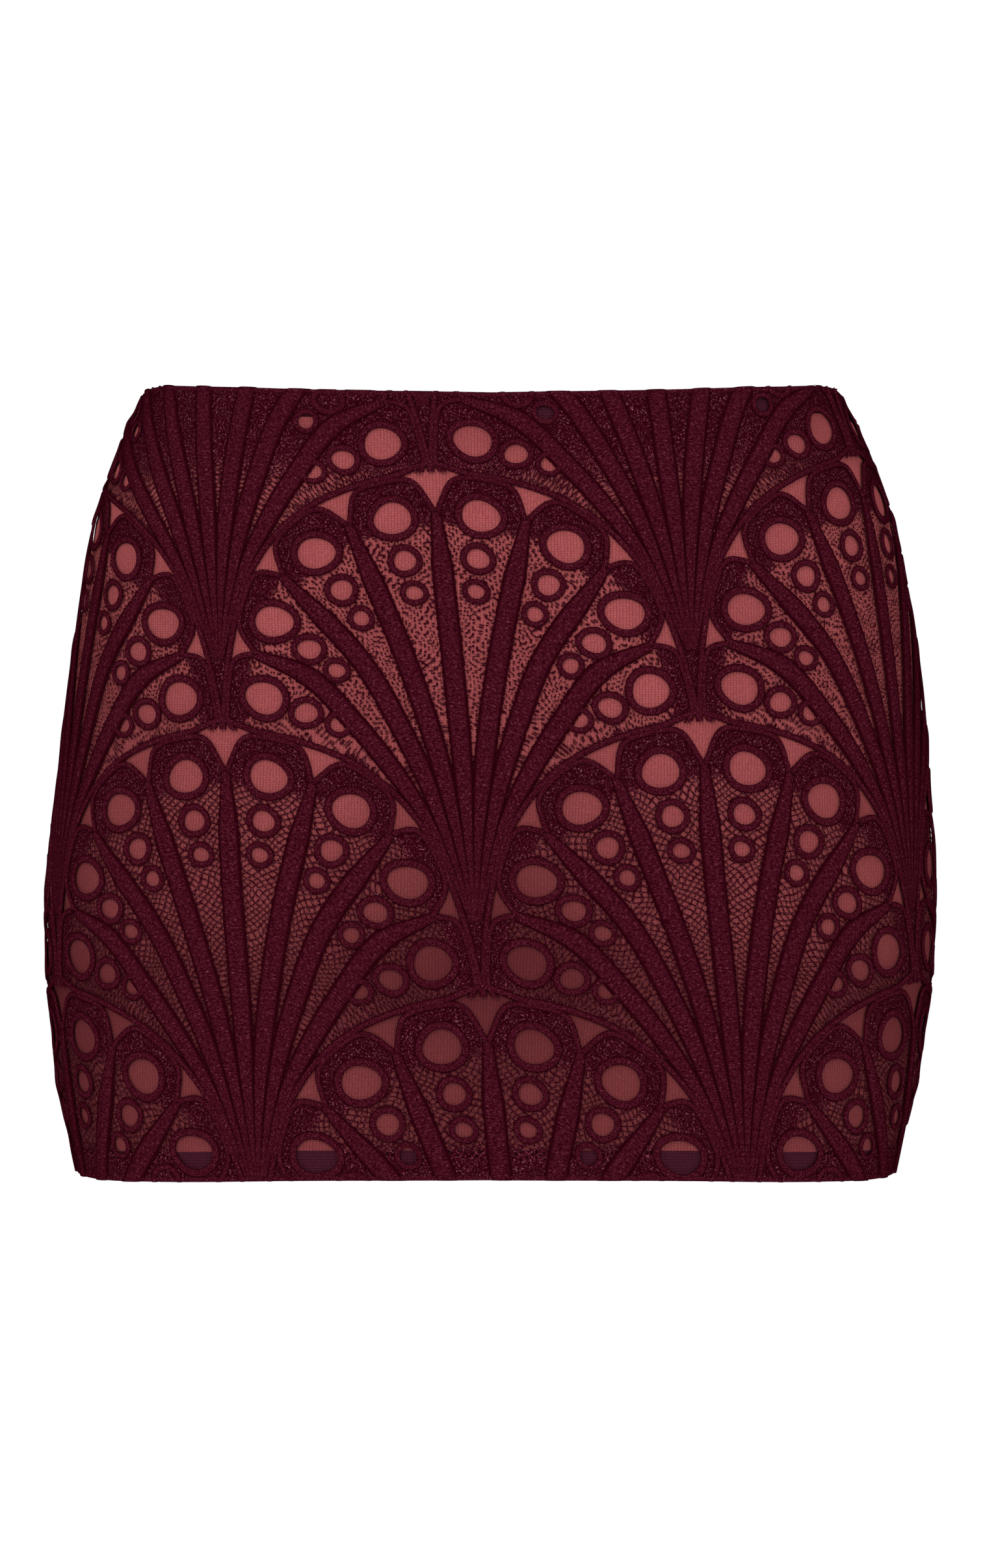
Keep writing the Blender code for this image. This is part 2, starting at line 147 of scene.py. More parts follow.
# The repeat of fans. Each row is half a repeat across from the next. A fan's own places are measured from its
# base. Its arch is tabled from its hub, by the degrees from straight up.
REPEAT = 193.5 * MM
ROW_PITCH = 105.5 * MM
HUB_UP = 62.5 * MM
Reach = namedtuple("Reach", "turn distance")
ARCH = (
    Reach(0, 0.1215),
    Reach(15, 0.1210),
    Reach(30, 0.1195),
    Reach(45, 0.1135),
    Reach(60, 0.1045),
    Reach(75, 0.0990),
    Reach(90, 0.0970),
)
PETAL_TURN = 19.9
BASE_TURN = 62
PETALS = (-4, -3, -2, -1, 1, 2, 3, 4)
RIBS = (-3, -2, -1, 0, 1, 2, 3)
FAN_ROWS = (-2, -1, 0, 1, 2, 3)
FAN_COLUMNS = (-2, -1, 0, 1, 2)
FAN_REACH = REPEAT * 0.6
NO_FAN = 99

# The worn cloth is drawn over the form, so the repeat leans and is wider across the hips than at the waist.
# Its rows bend up to the sides and lie closer at the waist and the hem. The last five are per metre of cloth.
FIRST_BASE_ALONG = -5.7 * MM
FIRST_BASE_HEIGHT = -217 * MM
DRAWN_FROM = 60 * MM
LEAN = 0.109
TILT = 0.014
WIDER_BELOW = 0.177
LEAN_BEND = 0.054
SIDES_UP = 0.084
ROWS_CLOSER = 0.244
SHEAR = 0.117

# How many rounds close in on a place's way back from the cloth to the repeat.
ROUNDS_TO_REPEAT = 12

# The large, medium and small eyelet of a petal, from its tip inwards. inset is from the arch to its centre.
# corners is how many its gap in the net has. Each is an oval with two and three low waves round it.
Eyelet = namedtuple("Eyelet", "inset half_wide half_high ring_half_wide corners")
EYELETS = (
    Eyelet(17.2 * MM, 7.8 * MM, 6.6 * MM, 1.45 * MM, 18),
    Eyelet(35.3 * MM, 4.7 * MM, 4.1 * MM, 1.25 * MM, 14),
    Eyelet(49.0 * MM, 3.4 * MM, 3.0 * MM, 1.1 * MM, 14),
)
TWO_WAVES = 0.045
THREE_WAVES = 0.030

# Windows lie between two petal tips, under the arch. A row for each place from the middle one outwards.
Window = namedtuple("Window", "depth half_turn")
WINDOWS = (
    Window(16.5 * MM, 5.3),
    Window(14.0 * MM, 5.2),
    Window(12.5 * MM, 4.5),
    Window(11.5 * MM, 4.5),
)
MIDDLE_WINDOW_PEAK = 4.5 * MM
PEAK_HALF_TURN = WINDOWS[0].half_turn * 1.3

# Ribs run from the notch under a window down to the fan's base: how far each one's middle is from the fan's,
# and half its width there.
RibPlace = namedtuple("RibPlace", "up first second third half_wide")
RIB_PLACES = (
    RibPlace(0.100, 0.0169, 0.0330, 0.0590, 0.0040),
    RibPlace(0.080, 0.0120, 0.0238, 0.0410, 0.0039),
    RibPlace(0.060, 0.0080, 0.0158, 0.0265, 0.0035),
    RibPlace(0.040, 0.0048, 0.0098, 0.0148, 0.0023),
    RibPlace(0.020, 0.0023, 0.0048, 0.0072, 0.0012),
    RibPlace(0.002, 0.0006, 0.0012, 0.0018, 0.0006),
)
RIB_TIP_HALF_WIDE = 1.7 * MM
RIB_WIDENS_OVER = 24 * MM

# How the net of a petal opens, by its place from the middle one outwards: closed_tip is the dense stretch in
# from the arch, and bars_from is how far along the petal its cells turn into bars from rib to rib.
PetalNet = namedtuple("PetalNet", "closed_tip bars_from")
PETAL_NETS = (
    PetalNet(20 * MM, 92 * MM),
    PetalNet(19 * MM, 88 * MM),
    PetalNet(11 * MM, 70 * MM),
    PetalNet(8 * MM, 30 * MM),
)
BARS_OVER = 25 * MM
BARS_WIDER = 1.6
BARS_CLOSER = 0.45
NET_LINE_STEP = 2.5 * MM
NET_LINE_PAST_TIP = 6 * MM

# Where else the net closes: at middle it is half open, and it opens over half_over on each side of that.
Closing = namedtuple("Closing", "middle half_over least")
CLOSED_ABOVE_BASE = Closing(42 * MM, 12 * MM, 0.0)
CLOSED_BELOW_WAIST = Closing(30 * MM, 14 * MM, 0.25)
CLOSED_ABOVE_HEM = Closing(11 * MM, 6 * MM, 0.35)
TIP_OPENS_OVER = 3 * MM

# Low rows have a net of crossed threads, and high rows one of uneven cells.
CROSSED_IN_FIRST_ROW = 0.5
CROSSED_LESS_PER_ROW = 0.6

# Cells between the same places of two petals and of two rows, so that their nets differ.
CELLS_TO_NEXT_PETAL = 7.0
CELLS_TO_NEXT_ROW = 23.0
ROWS_THAT_DIFFER = 7

# Sections of what is raised on the lace: across is a share of the half width, and rise a share of the crown.
SectionPoint = namedtuple("SectionPoint", "across rise")


def whole_section(*rows):
    return [SectionPoint(*row) for row in rows]


def mirrored_section(*rows):
    """A section from its rows from the left edge to the crown, with the same on the right."""
    return whole_section(*rows, *((-across, rise) for across, rise in rows[-2::-1]))


RIB_SECTION = mirrored_section((-1.18, -0.12), (-1.02, 0.05), (-0.86, 0.62), (-0.45, 0.94), (0.0, 1.0))
CORD_SECTION = mirrored_section((-1.4, -0.15), (-1.0, 0.1), (-0.55, 0.85), (0.0, 1.0))
RING_SECTION = whole_section(
    (-1.0, -0.2), (-0.85, 0.45), (-0.35, 0.95), (0.25, 0.95), (0.8, 0.5), (1.05, 0.02), (1.35, -0.12)
)
RIB_STEP = 2 * MM
CORD_STEP = 1.3 * MM
FULL_CROWN_HALF_WIDE = 2.4 * MM
RIB_RISES_OVER = (-0.02, 0.03)

# The cords: one round each petal's tip, and one along the arch, to ARCH_ENDS degrees from straight up.
# The last petal's cord ends some degrees past its tip and further in.
PETAL_INSET = 1.6 * MM
NOTCH_ASIDE = PETAL_INSET * 0.4
TIP_ROUNDING = 9 * MM
TIP_CORNER = 0.72
LAST_TIP_TURN = 79.5
LAST_TIP_PAST = 1.5
LAST_TIP_INSET = 7 * MM
ARCH_ENDS = 82
ARCH_ROUNDING = 4 * MM

# Steps of the net's mesh, and how far its gaps reach under the stitching round them.
# The last two are degrees past a window's sides and its top's ends.
OUTLINE_STEP = 3 * MM
NET_STEP = 2.8 * MM
NET_CLEAR = 1.5 * MM
GAP_GROWN = 0.7 * MM
GAP_MARGIN = 0.6 * MM
WINDOW_TURN_PAST = 3.0
WINDOW_TOP_PAST = 0.4

# The sections of a side seam's ridge, from its edge to the seam, and of the roll along the waist and the hem:
# how far in from the seam or the cut edge, and the rise.
SEAM_RIDGE = ((1.8 * MM, -0.15 * MM), (0.9 * MM, 0.35 * MM), (0.0, 0.15 * MM))
EDGE_ROLL = (
    (1.9 * MM, -0.20 * MM),
    (1.5 * MM, 0.20 * MM),
    (0.8 * MM, 0.40 * MM),
    (0.1 * MM, 0.10 * MM),
    (-0.1 * MM, -0.50 * MM),
    (0.1 * MM, -1.10 * MM),
    (0.9 * MM, -1.30 * MM),
)

# Shade painted into the knit's colour: darker low down, in the middle between the thighs, towards the seams
# and along the waist.
KnitShade = namedtuple("KnitShade", "along height half_wide half_high depth")
PAINTED_KNIT_SHADES = (
    KnitShade(0, -0.222, 75 * MM, 62 * MM, 0.75),
    KnitShade(-0.245, -0.215, 110 * MM, 120 * MM, 0.95),
    KnitShade(0.245, -0.215, 100 * MM, 120 * MM, 0.70),
    KnitShade(0, 0.005, 260 * MM, 26 * MM, 0.45),
)
LOW_SHADE_FROM = -0.205
LOW_SHADE_TO = -0.250
LOW_SHADE = 0.45

# The deepest painted shade on the knit, as shares of the knit's shade colour, and the painted shade of the
# strips between their threads.
DEEPEST_PAINTED_SHADE = (0.24, 0.17, 0.24)
STRIP_SHADE = 0.35

UV_NAME = "Stitches"
OPEN_NAME = "open"
WOVEN_NAME = "woven"
PAINTED_LIGHTNESS_NAME = "tone"


# --- what a user may change ---


def length(name, description, default):
    return bpy.props.FloatProperty(name=name, description=description, default=default, unit="LENGTH")


def colour(name, description, default):
    return bpy.props.FloatVectorProperty(name=name, description=description, default=default, subtype="COLOR")


class LaceSettings(bpy.types.PropertyGroup):
    """Sizes and colours of the lace."""

    rib_crown: length("Rib Crown", "How far a satin rib stands out", 0.9 * MM)
    cord_half_wide: length("Cord Half Width", "Half of an outline cord's width", 1.05 * MM)
    cord_crown: length("Cord Crown", "How far an outline cord stands out", 0.95 * MM)
    ring_crown: length("Ring Crown", "How far a stitched ring stands out", 0.75 * MM)
    cell_wide: length("Cell Width", "Width of a cell of the net", 3.5 * MM)
    cell_high: length("Cell Height", "Height of a cell of the net", 2.9 * MM)
    net_thread: bpy.props.FloatProperty(
        name="Net Thread",
        description="Half a net thread's width, as a share of a cell",
        default=0.122,
        min=0.02,
        max=0.45,
    )
    stitch_pitch: length("Stitch Pitch", "From one satin stitch to the next", 0.65 * MM)
    # Painted light and shade: thread is painted from the shade colour between stitches to the lit colour,
    # with painted highlights in the fleck colour.
    thread_colour: colour("Thread", "Lit thread", (0.088, 0.0095, 0.021))
    shade_colour: colour("Shade", "Between stitches", (0.016, 0.0002, 0.0022))
    painted_highlight_colour: colour("Fleck", "Flecks of light", (0.26, 0.090, 0.105))


class LiningSettings(bpy.types.PropertyGroup):
    """Sizes and colours of the lining and its strips."""

    wale: length("Wale", "From one column of stitches to the next", 1.3 * MM)
    course: length("Course", "From one row of stitches to the next", 0.95 * MM)
    knit_colour: colour("Knit", "Lit stitches", (0.33, 0.075, 0.077))
    knit_shade: colour("Knit Shade", "Between stitches", (0.150, 0.027, 0.030))
    strip_colour: colour("Strips", "Elastic and hem tape", (0.060, 0.011, 0.022))


class StageSettings(bpy.types.PropertyGroup):
    """The floor, the light and the camera."""

    camera_distance: length("Camera Distance", "From the camera to the side seams", 3.0)
    camera_height: length("Camera Height", "The camera's height, looking level", -0.161)
    view_height: length("View Height", "Span of the picture, top to bottom", 0.6469)
    floor_drop: length("Floor Drop", "From the hem down to the floor", 0.45)
    floor_colour: colour("Floor", "Plain pale floor", (0.92, 0.92, 0.92))


# --- the worn form ---


def smooth_read(at, places, values):
    """The values of a table at some places, along a smooth curve through its rows."""
    places, values = np.asarray(places, float), np.asarray(values, float)
    slopes = np.gradient(values, places)
    i = np.clip(np.searchsorted(places, at) - 1, 0, len(places) - 2)
    span = places[i + 1] - places[i]
    t = np.clip((at - places[i]) / span, 0.0, 1.0)
    start = values[i] * (1 + 2 * t) + slopes[i] * span * t
    end = values[i + 1] * (3 - 2 * t) + slopes[i + 1] * span * (t - 1)
    return start * (1 - t) ** 2 + end * t**2


def eased(value, low, high):
    """0 up to low and 1 from high, with a soft start and end."""
    t = np.clip((value - low) / (high - low), 0, 1)
    return t * t * (3 - 2 * t)


def table_read(at, rows, place, value):
    """One column of a table read at places of another, along a smooth curve through its rows."""
    return smooth_read(at, [getattr(row, place) for row in rows], [getattr(row, value) for row in rows])


def run_along(line):
    """How far along a line each of its points is."""
    return np.concatenate([[0], np.cumsum(np.linalg.norm(np.diff(line, axis=0), axis=1))])


class Half:
    """The front or back half of the worn form, tabled by height and by share of the way to its side seam."""

    LEVELS = np.linspace(SECTIONS[0].height, SECTIONS[-1].height, 89)
    SHARES = np.linspace(0, 1, 101)
    TURNS = np.linspace(0, math.pi / 2, 721)

    def __init__(self, name):
        self.name = name
        self.facing = -1 if name == "front" else 1
        read = [table_read(self.LEVELS, SECTIONS, "height", value) for value in SECTION_COLUMNS[name]]
        breadths, depths, squares, self.sway = read
        self.lengths, self.out, self.deep = [], [], []
        for breadth, depth, power in zip(breadths, depths, 2 / squares):
            x = breadth * np.sin(self.TURNS) ** power
            y = depth * np.clip(np.cos(self.TURNS), 0, 1) ** power
            run = run_along(np.stack([x, y], axis=-1))
            self.lengths.append(run[-1])
            self.out.append(np.interp(self.SHARES, run / run[-1], x))
            self.deep.append(np.interp(self.SHARES, run / run[-1], y))
        self.out, self.deep = np.array(self.out), np.array(self.deep)

    def half_width(self, heights):
        """The cloth from the centre line to the side seam, measured round the form."""
        return np.interp(heights, self.LEVELS, self.lengths)

    def edge(self, name, shares):
        return table_read(np.abs(shares), EDGES[self.name], "share", name)

    def on_form(self, along, height):
        share = np.clip(np.abs(along) / self.half_width(height), 0, 1) * (len(self.SHARES) - 1)
        level = np.interp(height, self.LEVELS, np.arange(len(self.LEVELS)))
        i = np.minimum(level.astype(int), len(self.LEVELS) - 2)
        j = np.minimum(share.astype(int), len(self.SHARES) - 2)
        a, b = level - i, share - j

        def blended(table):
            low = table[i, j] * (1 - b) + table[i, j + 1] * b
            high = table[i + 1, j] * (1 - b) + table[i + 1, j + 1] * b
            return low * (1 - a) + high * a

        side = np.sign(along) * -self.facing
        x = side * blended(self.out) + np.interp(height, self.LEVELS, self.sway)
        return np.stack([x, self.facing * blended(self.deep), height], axis=-1)

    def place(self, along, height, rise):
        """Points of the cloth, moved out from the form by rise, with the puckers beside the seams."""
        along, height = np.asarray(along, float), np.asarray(height, float)
        small = 1.0 * MM
        across = self.on_form(along + small, height) - self.on_form(along - small, height)
        upward = self.on_form(along, height + small) - self.on_form(along, height - small)
        normal = np.cross(across, upward)
        normal /= np.linalg.norm(normal, axis=-1, keepdims=True)
        beside_seam = eased(np.abs(along) / self.half_width(height), PUCKER_FROM_SHARE, 1.0)
        pucker = sum(p.rise * np.exp(-(((height - p.height) / p.half_long) ** 2)) for p in PUCKERS)
        return self.on_form(along, height) + normal * (rise + beside_seam * pucker)[..., None]

    def inside(self, along, height, margin):
        """True where a place is on this panel and at least margin from its cut edges."""
        share = along / self.half_width(height)
        clear_of_seam = np.abs(along) < self.half_width(height) - margin
        above_hem = height > self.edge("hem", share) + margin
        return clear_of_seam & above_hem & (height < self.edge("waist", share) - margin)

    def trimmed(self, along, height):
        """The same places, with those past a cut edge moved back to it."""
        width = self.half_width(height) - SEAM_GAP / 2
        along = np.clip(along, -width, width)
        share = along / width
        return along, np.clip(height, self.edge("hem", share), self.edge("waist", share))


# --- the repeat of fans ---


def arch_distance(turn):
    """From the hub to the arch, in the direction that turns this many degrees from straight up."""
    return table_read(np.abs(turn), ARCH, "turn", "distance")


def from_hub(turn, distance):
    angle = np.radians(turn)
    return np.stack([distance * np.sin(angle), HUB_UP + distance * np.cos(angle)], axis=-1)


def hub_turn(places):
    """The turn and the distance of places from the hub."""
    side, up = places[..., 0], places[..., 1] - HUB_UP
    return np.degrees(np.arctan2(side, up)), np.hypot(side, up)


def petal_turn(petal):
    return (abs(petal) - 0.5) * math.copysign(PETAL_TURN, petal)


def eyelet_outline(petal, eyelet, grown, count):
    """An eyelet's uneven oval, grown all round."""
    turn = petal_turn(petal)
    centre = from_hub(turn, arch_distance(turn) - eyelet.inset)
    uneven = np.random.default_rng(petal + 10 * EYELETS.index(eyelet) + 5).uniform(0, 2 * math.pi, 2)
    turns = np.linspace(0, 2 * math.pi, count, endpoint=False)
    reach = 1 + TWO_WAVES * np.sin(2 * turns + uneven[0]) + THREE_WAVES * np.sin(3 * turns + uneven[1])
    wide, high = eyelet.half_wide * reach + grown, eyelet.half_high * reach + grown
    return centre + np.stack([wide * np.cos(turns), high * np.sin(turns)], axis=-1)


def notch(rib):
    turn = rib * PETAL_TURN
    return from_hub(turn, arch_distance(turn) - WINDOWS[abs(rib)].depth)


def respaced(line, step):
    """The same line with even steps."""
    line = np.asarray(line, float)
    run = run_along(line)
    at = np.linspace(0, run[-1], max(3, round(run[-1] / step) + 1))
    return np.stack([np.interp(at, run, line[:, i]) for i in (0, 1)], axis=-1)


def rounded(line, radius, step):
    """A line with its corners rounded and its ends kept."""
    line = respaced(line, step)
    reach = max(1, round(radius / step))
    weights = np.hanning(2 * reach + 3)[1:-1]
    weights /= weights.sum()
    padded = np.concatenate([2 * line[0] - line[reach:0:-1], line, 2 * line[-1] - line[-2 : -reach - 2 : -1]])
    return np.stack([np.convolve(padded[:, i], weights, "valid") for i in (0, 1)], axis=-1)


def rib_places(rib):
    """A rib's middle, from its notch to the fan's base, and how far along it each place is."""
    lower = [(math.copysign(row[abs(rib)], rib) if rib else 0.0, row.up) for row in RIB_PLACES]
    places = np.array([notch(rib), *lower])
    return places, run_along(places)


def rib_line(rib, t):
    """Points of a rib's middle, from its notch at t = 0 to the fan's base at t = 1."""
    places, run = rib_places(rib)
    along = np.asarray(t, float) * run[-1]
    return np.stack([smooth_read(along, run, places[:, 0]), smooth_read(along, run, places[:, 1])], axis=-1)


def rib_half_wide(rib, t):
    run = rib_places(rib)[1][-1]
    by_up = table_read(rib_line(rib, t)[:, 1], RIB_PLACES[::-1], "up", "half_wide")
    widening = np.clip(np.asarray(t) * run / RIB_WIDENS_OVER, 0, 1)
    return np.minimum(by_up, RIB_TIP_HALF_WIDE + (RIB_PLACES[0].half_wide - RIB_TIP_HALF_WIDE) * widening)


def outer_line(side, t):
    """A fan's edge along the arch of the fan below, side -1 or 1, from its last petal's tip to its base."""
    turns = np.asarray(t, float) * BASE_TURN
    below = from_hub(-side * turns, arch_distance(turns))
    return below + [side * REPEAT / 2, -ROW_PITCH]


def petal_middle(petal):
    """The middle line of a petal, from past its tip to the fan's base."""
    side = 1 if petal > 0 else -1
    t = np.linspace(0, 1, 45)
    outer = rib_line(petal, t) if abs(petal) < len(PETALS) / 2 else outer_line(side, t)
    valley = (rib_line(petal - side, t) + outer) / 2
    turn = petal_turn(petal)
    tip = from_hub(turn, arch_distance(turn) + NET_LINE_PAST_TIP)
    return respaced(np.concatenate([[tip], valley]), NET_LINE_STEP)


def on_cloth(base, points):
    """A fan's own places as places on the panel."""
    side, up = np.moveaxis(base + np.asarray(points), -1, 0)
    above = up - DRAWN_FROM
    along = FIRST_BASE_ALONG + side * (1 - WIDER_BELOW * above) - LEAN * up + LEAN_BEND * above**2
    higher = TILT * side + SIDES_UP * side**2 - ROWS_CLOSER * above**2 + SHEAR * side * above
    return along, FIRST_BASE_HEIGHT + up + higher


def in_repeat(along, height):
    """Places on the panel as places in the repeat, by closing in on the ones that on_cloth puts there."""
    wanted = np.stack([along, height], axis=-1)
    found = wanted - [FIRST_BASE_ALONG, FIRST_BASE_HEIGHT]
    for _ in range(ROUNDS_TO_REPEAT):
        found = found + wanted - np.stack(on_cloth(np.zeros(2), found), axis=-1)
    return found


def fan_bases(half):
    """Where the fans of a panel have their bases in the repeat, those beyond its edges included."""
    reach = half.half_width(WIDEST) + FAN_REACH
    bases = []
    for row in FAN_ROWS:
        for column in FAN_COLUMNS:
            side = (column + (row % 2) / 2) * REPEAT
            if abs(side) < reach:
                bases.append(np.array([side, row * ROW_PITCH]))
    return bases


def fan_at(places):
    """For places in the repeat, the row of the fan that each lies in and the place from its base.

    The fans of a lower row lie over those of the row above.
    """
    rows = np.full(len(places), NO_FAN)
    own = np.zeros_like(places)
    for row in FAN_ROWS:
        shift = (row % 2) / 2
        column = np.round(places[:, 0] / REPEAT - shift)
        local = places - np.stack([(column + shift) * REPEAT, np.full(len(places), row * ROW_PITCH)], axis=-1)
        turn, distance = hub_turn(local)
        within = distance < arch_distance(np.minimum(np.abs(turn), ARCH[-1].turn))
        here = (rows == NO_FAN) & (within | (local[:, 1] < HUB_UP))
        rows[here], own[here] = row, local[here]
    return rows, own


# --- raised lines of stitching, in a fan's own places ---


def grid_faces(rows, columns):
    index = np.arange(rows * columns).reshape(rows, columns)
    return np.stack([index[:-1, :-1], index[:-1, 1:], index[1:, 1:], index[1:, :-1]], axis=-1).reshape(-1, 4)


def strip(middle, half_wide, crown, section, closed=False):
    """A strip along a line: places, rises, stitch coordinates (across, run in mm) and faces.

    closed is for a line whose end is its start.
    """
    ahead = np.gradient(middle, axis=0)
    if closed:
        ahead[[0, -1]] = middle[1] - middle[-2]
    ahead /= np.linalg.norm(ahead, axis=1, keepdims=True)
    right = np.stack([ahead[:, 1], -ahead[:, 0]], axis=-1)
    across, rise = np.array(section).T
    half_wide = np.broadcast_to(half_wide, len(middle))[:, None]
    crown = np.broadcast_to(crown, len(middle))[:, None]
    places = middle[:, None] + right[:, None] * (half_wide * across)[..., None]
    stitches = np.stack(np.broadcast_arrays(across[None], run_along(middle)[:, None] / MM), axis=-1)
    faces = grid_faces(len(middle), len(section))
    return places.reshape(-1, 2), (crown * rise).ravel(), stitches.reshape(-1, 2), faces


def joined(strips):
    """Strips as one set of the same four arrays."""
    places, rises, stitches, faces = zip(*strips)
    before = np.cumsum([0, *map(len, places)])
    faces = [own + count for own, count in zip(faces, before)]
    return [np.concatenate(arrays) for arrays in (places, rises, stitches, faces)]


def rib_stitching(lace):
    strips = []
    for rib in RIBS:
        run = rib_places(rib)[1][-1]
        t = np.linspace(0, 1, round(run / RIB_STEP) + 1)
        half_wide = rib_half_wide(rib, t)
        crown = lace.rib_crown * np.minimum(1, half_wide / FULL_CROWN_HALF_WIDE) * eased(t, *RIB_RISES_OVER)
        strips.append(strip(rib_line(rib, t)[::-1], half_wide[::-1], crown[::-1], RIB_SECTION))
    return joined(strips)


def petal_outline(petal):
    """The middle of the cord round a petal's tip, from one notch to the next."""
    inner, outer = abs(petal) - 1, abs(petal)
    aside = np.array([NOTCH_ASIDE, 0])
    first = inner * PETAL_TURN + WINDOWS[inner].half_turn * TIP_CORNER
    if outer < len(WINDOWS):
        last = outer * PETAL_TURN - WINDOWS[outer].half_turn * TIP_CORNER
        end = notch(outer) - aside
    else:
        last = LAST_TIP_TURN
        end = from_hub(last + LAST_TIP_PAST, arch_distance(last) - LAST_TIP_INSET)
    turns = np.linspace(first, last, 9)
    tip = from_hub(turns, arch_distance(turns) - PETAL_INSET)
    line = rounded(np.concatenate([[notch(inner) + aside], tip, [end]]), TIP_ROUNDING, CORD_STEP)
    return line if petal > 0 else (line * [-1, 1])[::-1]


def arch_line(turns):
    """The arch, with the small peak over its middle window."""
    peak = MIDDLE_WINDOW_PEAK * np.clip(1 - np.abs(turns) / PEAK_HALF_TURN, 0, 1)
    return from_hub(turns, arch_distance(turns) + peak)


def cord_stitching(lace):
    arch = rounded(arch_line(np.linspace(-ARCH_ENDS, ARCH_ENDS, 250)), ARCH_ROUNDING, CORD_STEP)
    strips = [strip(arch[::-1], lace.cord_half_wide * 1.1, lace.cord_crown, CORD_SECTION)]
    for petal in PETALS:
        strips.append(strip(petal_outline(petal), lace.cord_half_wide, lace.cord_crown * 0.9, CORD_SECTION))
    return joined(strips)


def ring_stitching(lace):
    strips = []
    for petal in PETALS:
        for eyelet in EYELETS:
            half_wide = eyelet.ring_half_wide
            count = round(math.pi * (eyelet.half_wide + eyelet.half_high + 2 * half_wide) / CORD_STEP)
            line = eyelet_outline(petal, eyelet, half_wide, count)
            line = np.concatenate([line, line[:1]])
            strips.append(strip(line, half_wide, lace.ring_crown, RING_SECTION, closed=True))
    return joined(strips)


# --- meshes ---


def mesh_piece(name, points, faces, material, corner_uvs, point_values=None):
    """An object from arrays. corner_uvs has a row for each corner of each face."""
    mesh = bpy.data.meshes.new(name)
    mesh.from_pydata(points.tolist(), [], faces.tolist())
    layer = mesh.uv_layers.new(name=UV_NAME)
    layer.uv.foreach_set("vector", np.asarray(corner_uvs, np.float32).ravel())
    for value_name, values in (point_values or {}).items():
        attribute = mesh.attributes.new(value_name, "FLOAT", "POINT")
        attribute.data.foreach_set("value", np.asarray(values, np.float32))
    mesh.materials.append(material)
    mesh.polygons.foreach_set("use_smooth", np.full(len(mesh.polygons), True))
    mesh.update()
    if mesh.validate():
        raise RuntimeError(name + " has a broken face")
    piece = bpy.data.objects.new(name, mesh)
    bpy.context.scene.collection.objects.link(piece)
    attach(piece, "root")
    return piece


def grid_piece(name, points, first, second, material, flip=False, point_values=None):
    """An object from rows and columns of points, with two stitch coordinates for each."""
    faces = grid_faces(*points.shape[:2])[:, :: -1 if flip else 1]
    uvs = np.stack(np.broadcast_arrays(first, second), axis=-1).reshape(-1, 2)[faces].reshape(-1, 2)
    return mesh_piece(name, points.reshape(-1, 3), faces, material, uvs, point_values)


def lay_on_panel(half, template, name, material):
    """The same stitching on every fan of a panel, cut off at the panel's edges and under the fans below."""
    places, rises, stitches, faces = template
    points, kept_faces, kept_stitches, count = [], [], [], 0
    for base in fan_bases(half):
        along, height = on_cloth(base, places)
        rows, _ = fan_at(base + places[faces].mean(axis=1))
        on_panel = half.inside(along, height, 0.0)
        shown = (rows >= round(base[1] / ROW_PITCH)) & on_panel[faces].any(axis=1)
        if not shown.any():
            continue
        along, height = half.trimmed(along, height)
        used, renumbered = np.unique(faces[shown], return_inverse=True)
        points.append(half.place(along[used], height[used], rises[used]))
        kept_faces.append(renumbered.reshape(-1, 4) + count)
        kept_stitches.append(stitches[faces[shown]].reshape(-1, 2))
        count += len(used)
    points, kept_faces, uvs = map(np.concatenate, (points, kept_faces, kept_stitches))
    return mesh_piece(name, points, kept_faces, material, uvs)


def window_hole(rib):
    """The gap of the ground under a window, out to the middles of the cords round it."""
    right = petal_outline(rib + 1 if rib >= 0 else rib)
    left = petal_outline(rib if rib > 0 else rib - 1)[::-1]
    reach = WINDOWS[abs(rib)].half_turn + WINDOW_TURN_PAST
    sides, ends = [], []
    for line in (right, left):
        turns, _ = hub_turn(line)
        beyond = np.abs(turns - rib * PETAL_TURN) > reach
        sides.append(line[: beyond.argmax()])
        ends.append(turns[beyond.argmax() - 1])
    top = arch_line(np.linspace(ends[0] - WINDOW_TOP_PAST, ends[1] + WINDOW_TOP_PAST, 9))
    return np.concatenate([sides[0][::2], top, sides[1][::-1][::2]])


def panel_outline(half):
    """The cut edge of a panel, as places, anticlockwise from outside."""
    seams = np.linspace(0, 1, 1 + round(-EDGES[half.name][0].hem / OUTLINE_STEP))
    shares = np.linspace(-1, 1, round(2 * half.half_width(WIDEST) / OUTLINE_STEP) + 1)
    low = np.stack([shares, half.edge("hem", shares)], axis=-1)
    high = np.stack([shares, half.edge("waist", shares)], axis=-1)[::-1]
    up_seam = low[-1, 1] + seams[1:-1] * (high[0, 1] - low[-1, 1])
    right = np.stack([np.ones_like(up_seam), up_seam], axis=-1)
    left = (right * [-1, 1])[::-1]
    sides = np.concatenate([low, right, high, left])
    width = half.half_width(sides[:, 1]) - SEAM_GAP / 2
    return np.stack([sides[:, 0] * width, sides[:, 1]], axis=-1)


def ground_gaps(half):
    """The windows and eyelets of a panel, as places, each a little under the stitching round it."""
    own = [window_hole(rib) for rib in RIBS]
    for petal in PETALS:
        for eyelet in EYELETS:
            own.append(eyelet_outline(petal, eyelet, GAP_GROWN, eyelet.corners))
    gaps = []
    for base in fan_bases(half):
        for outline in own:
            along, height = on_cloth(base, outline)
            rows, _ = fan_at(base + outline.mean(axis=0)[None])
            if rows[0] == round(base[1] / ROW_PITCH) and half.inside(along, height, GAP_MARGIN).all():
                gaps.append(np.stack([along, height], axis=-1))
    return gaps


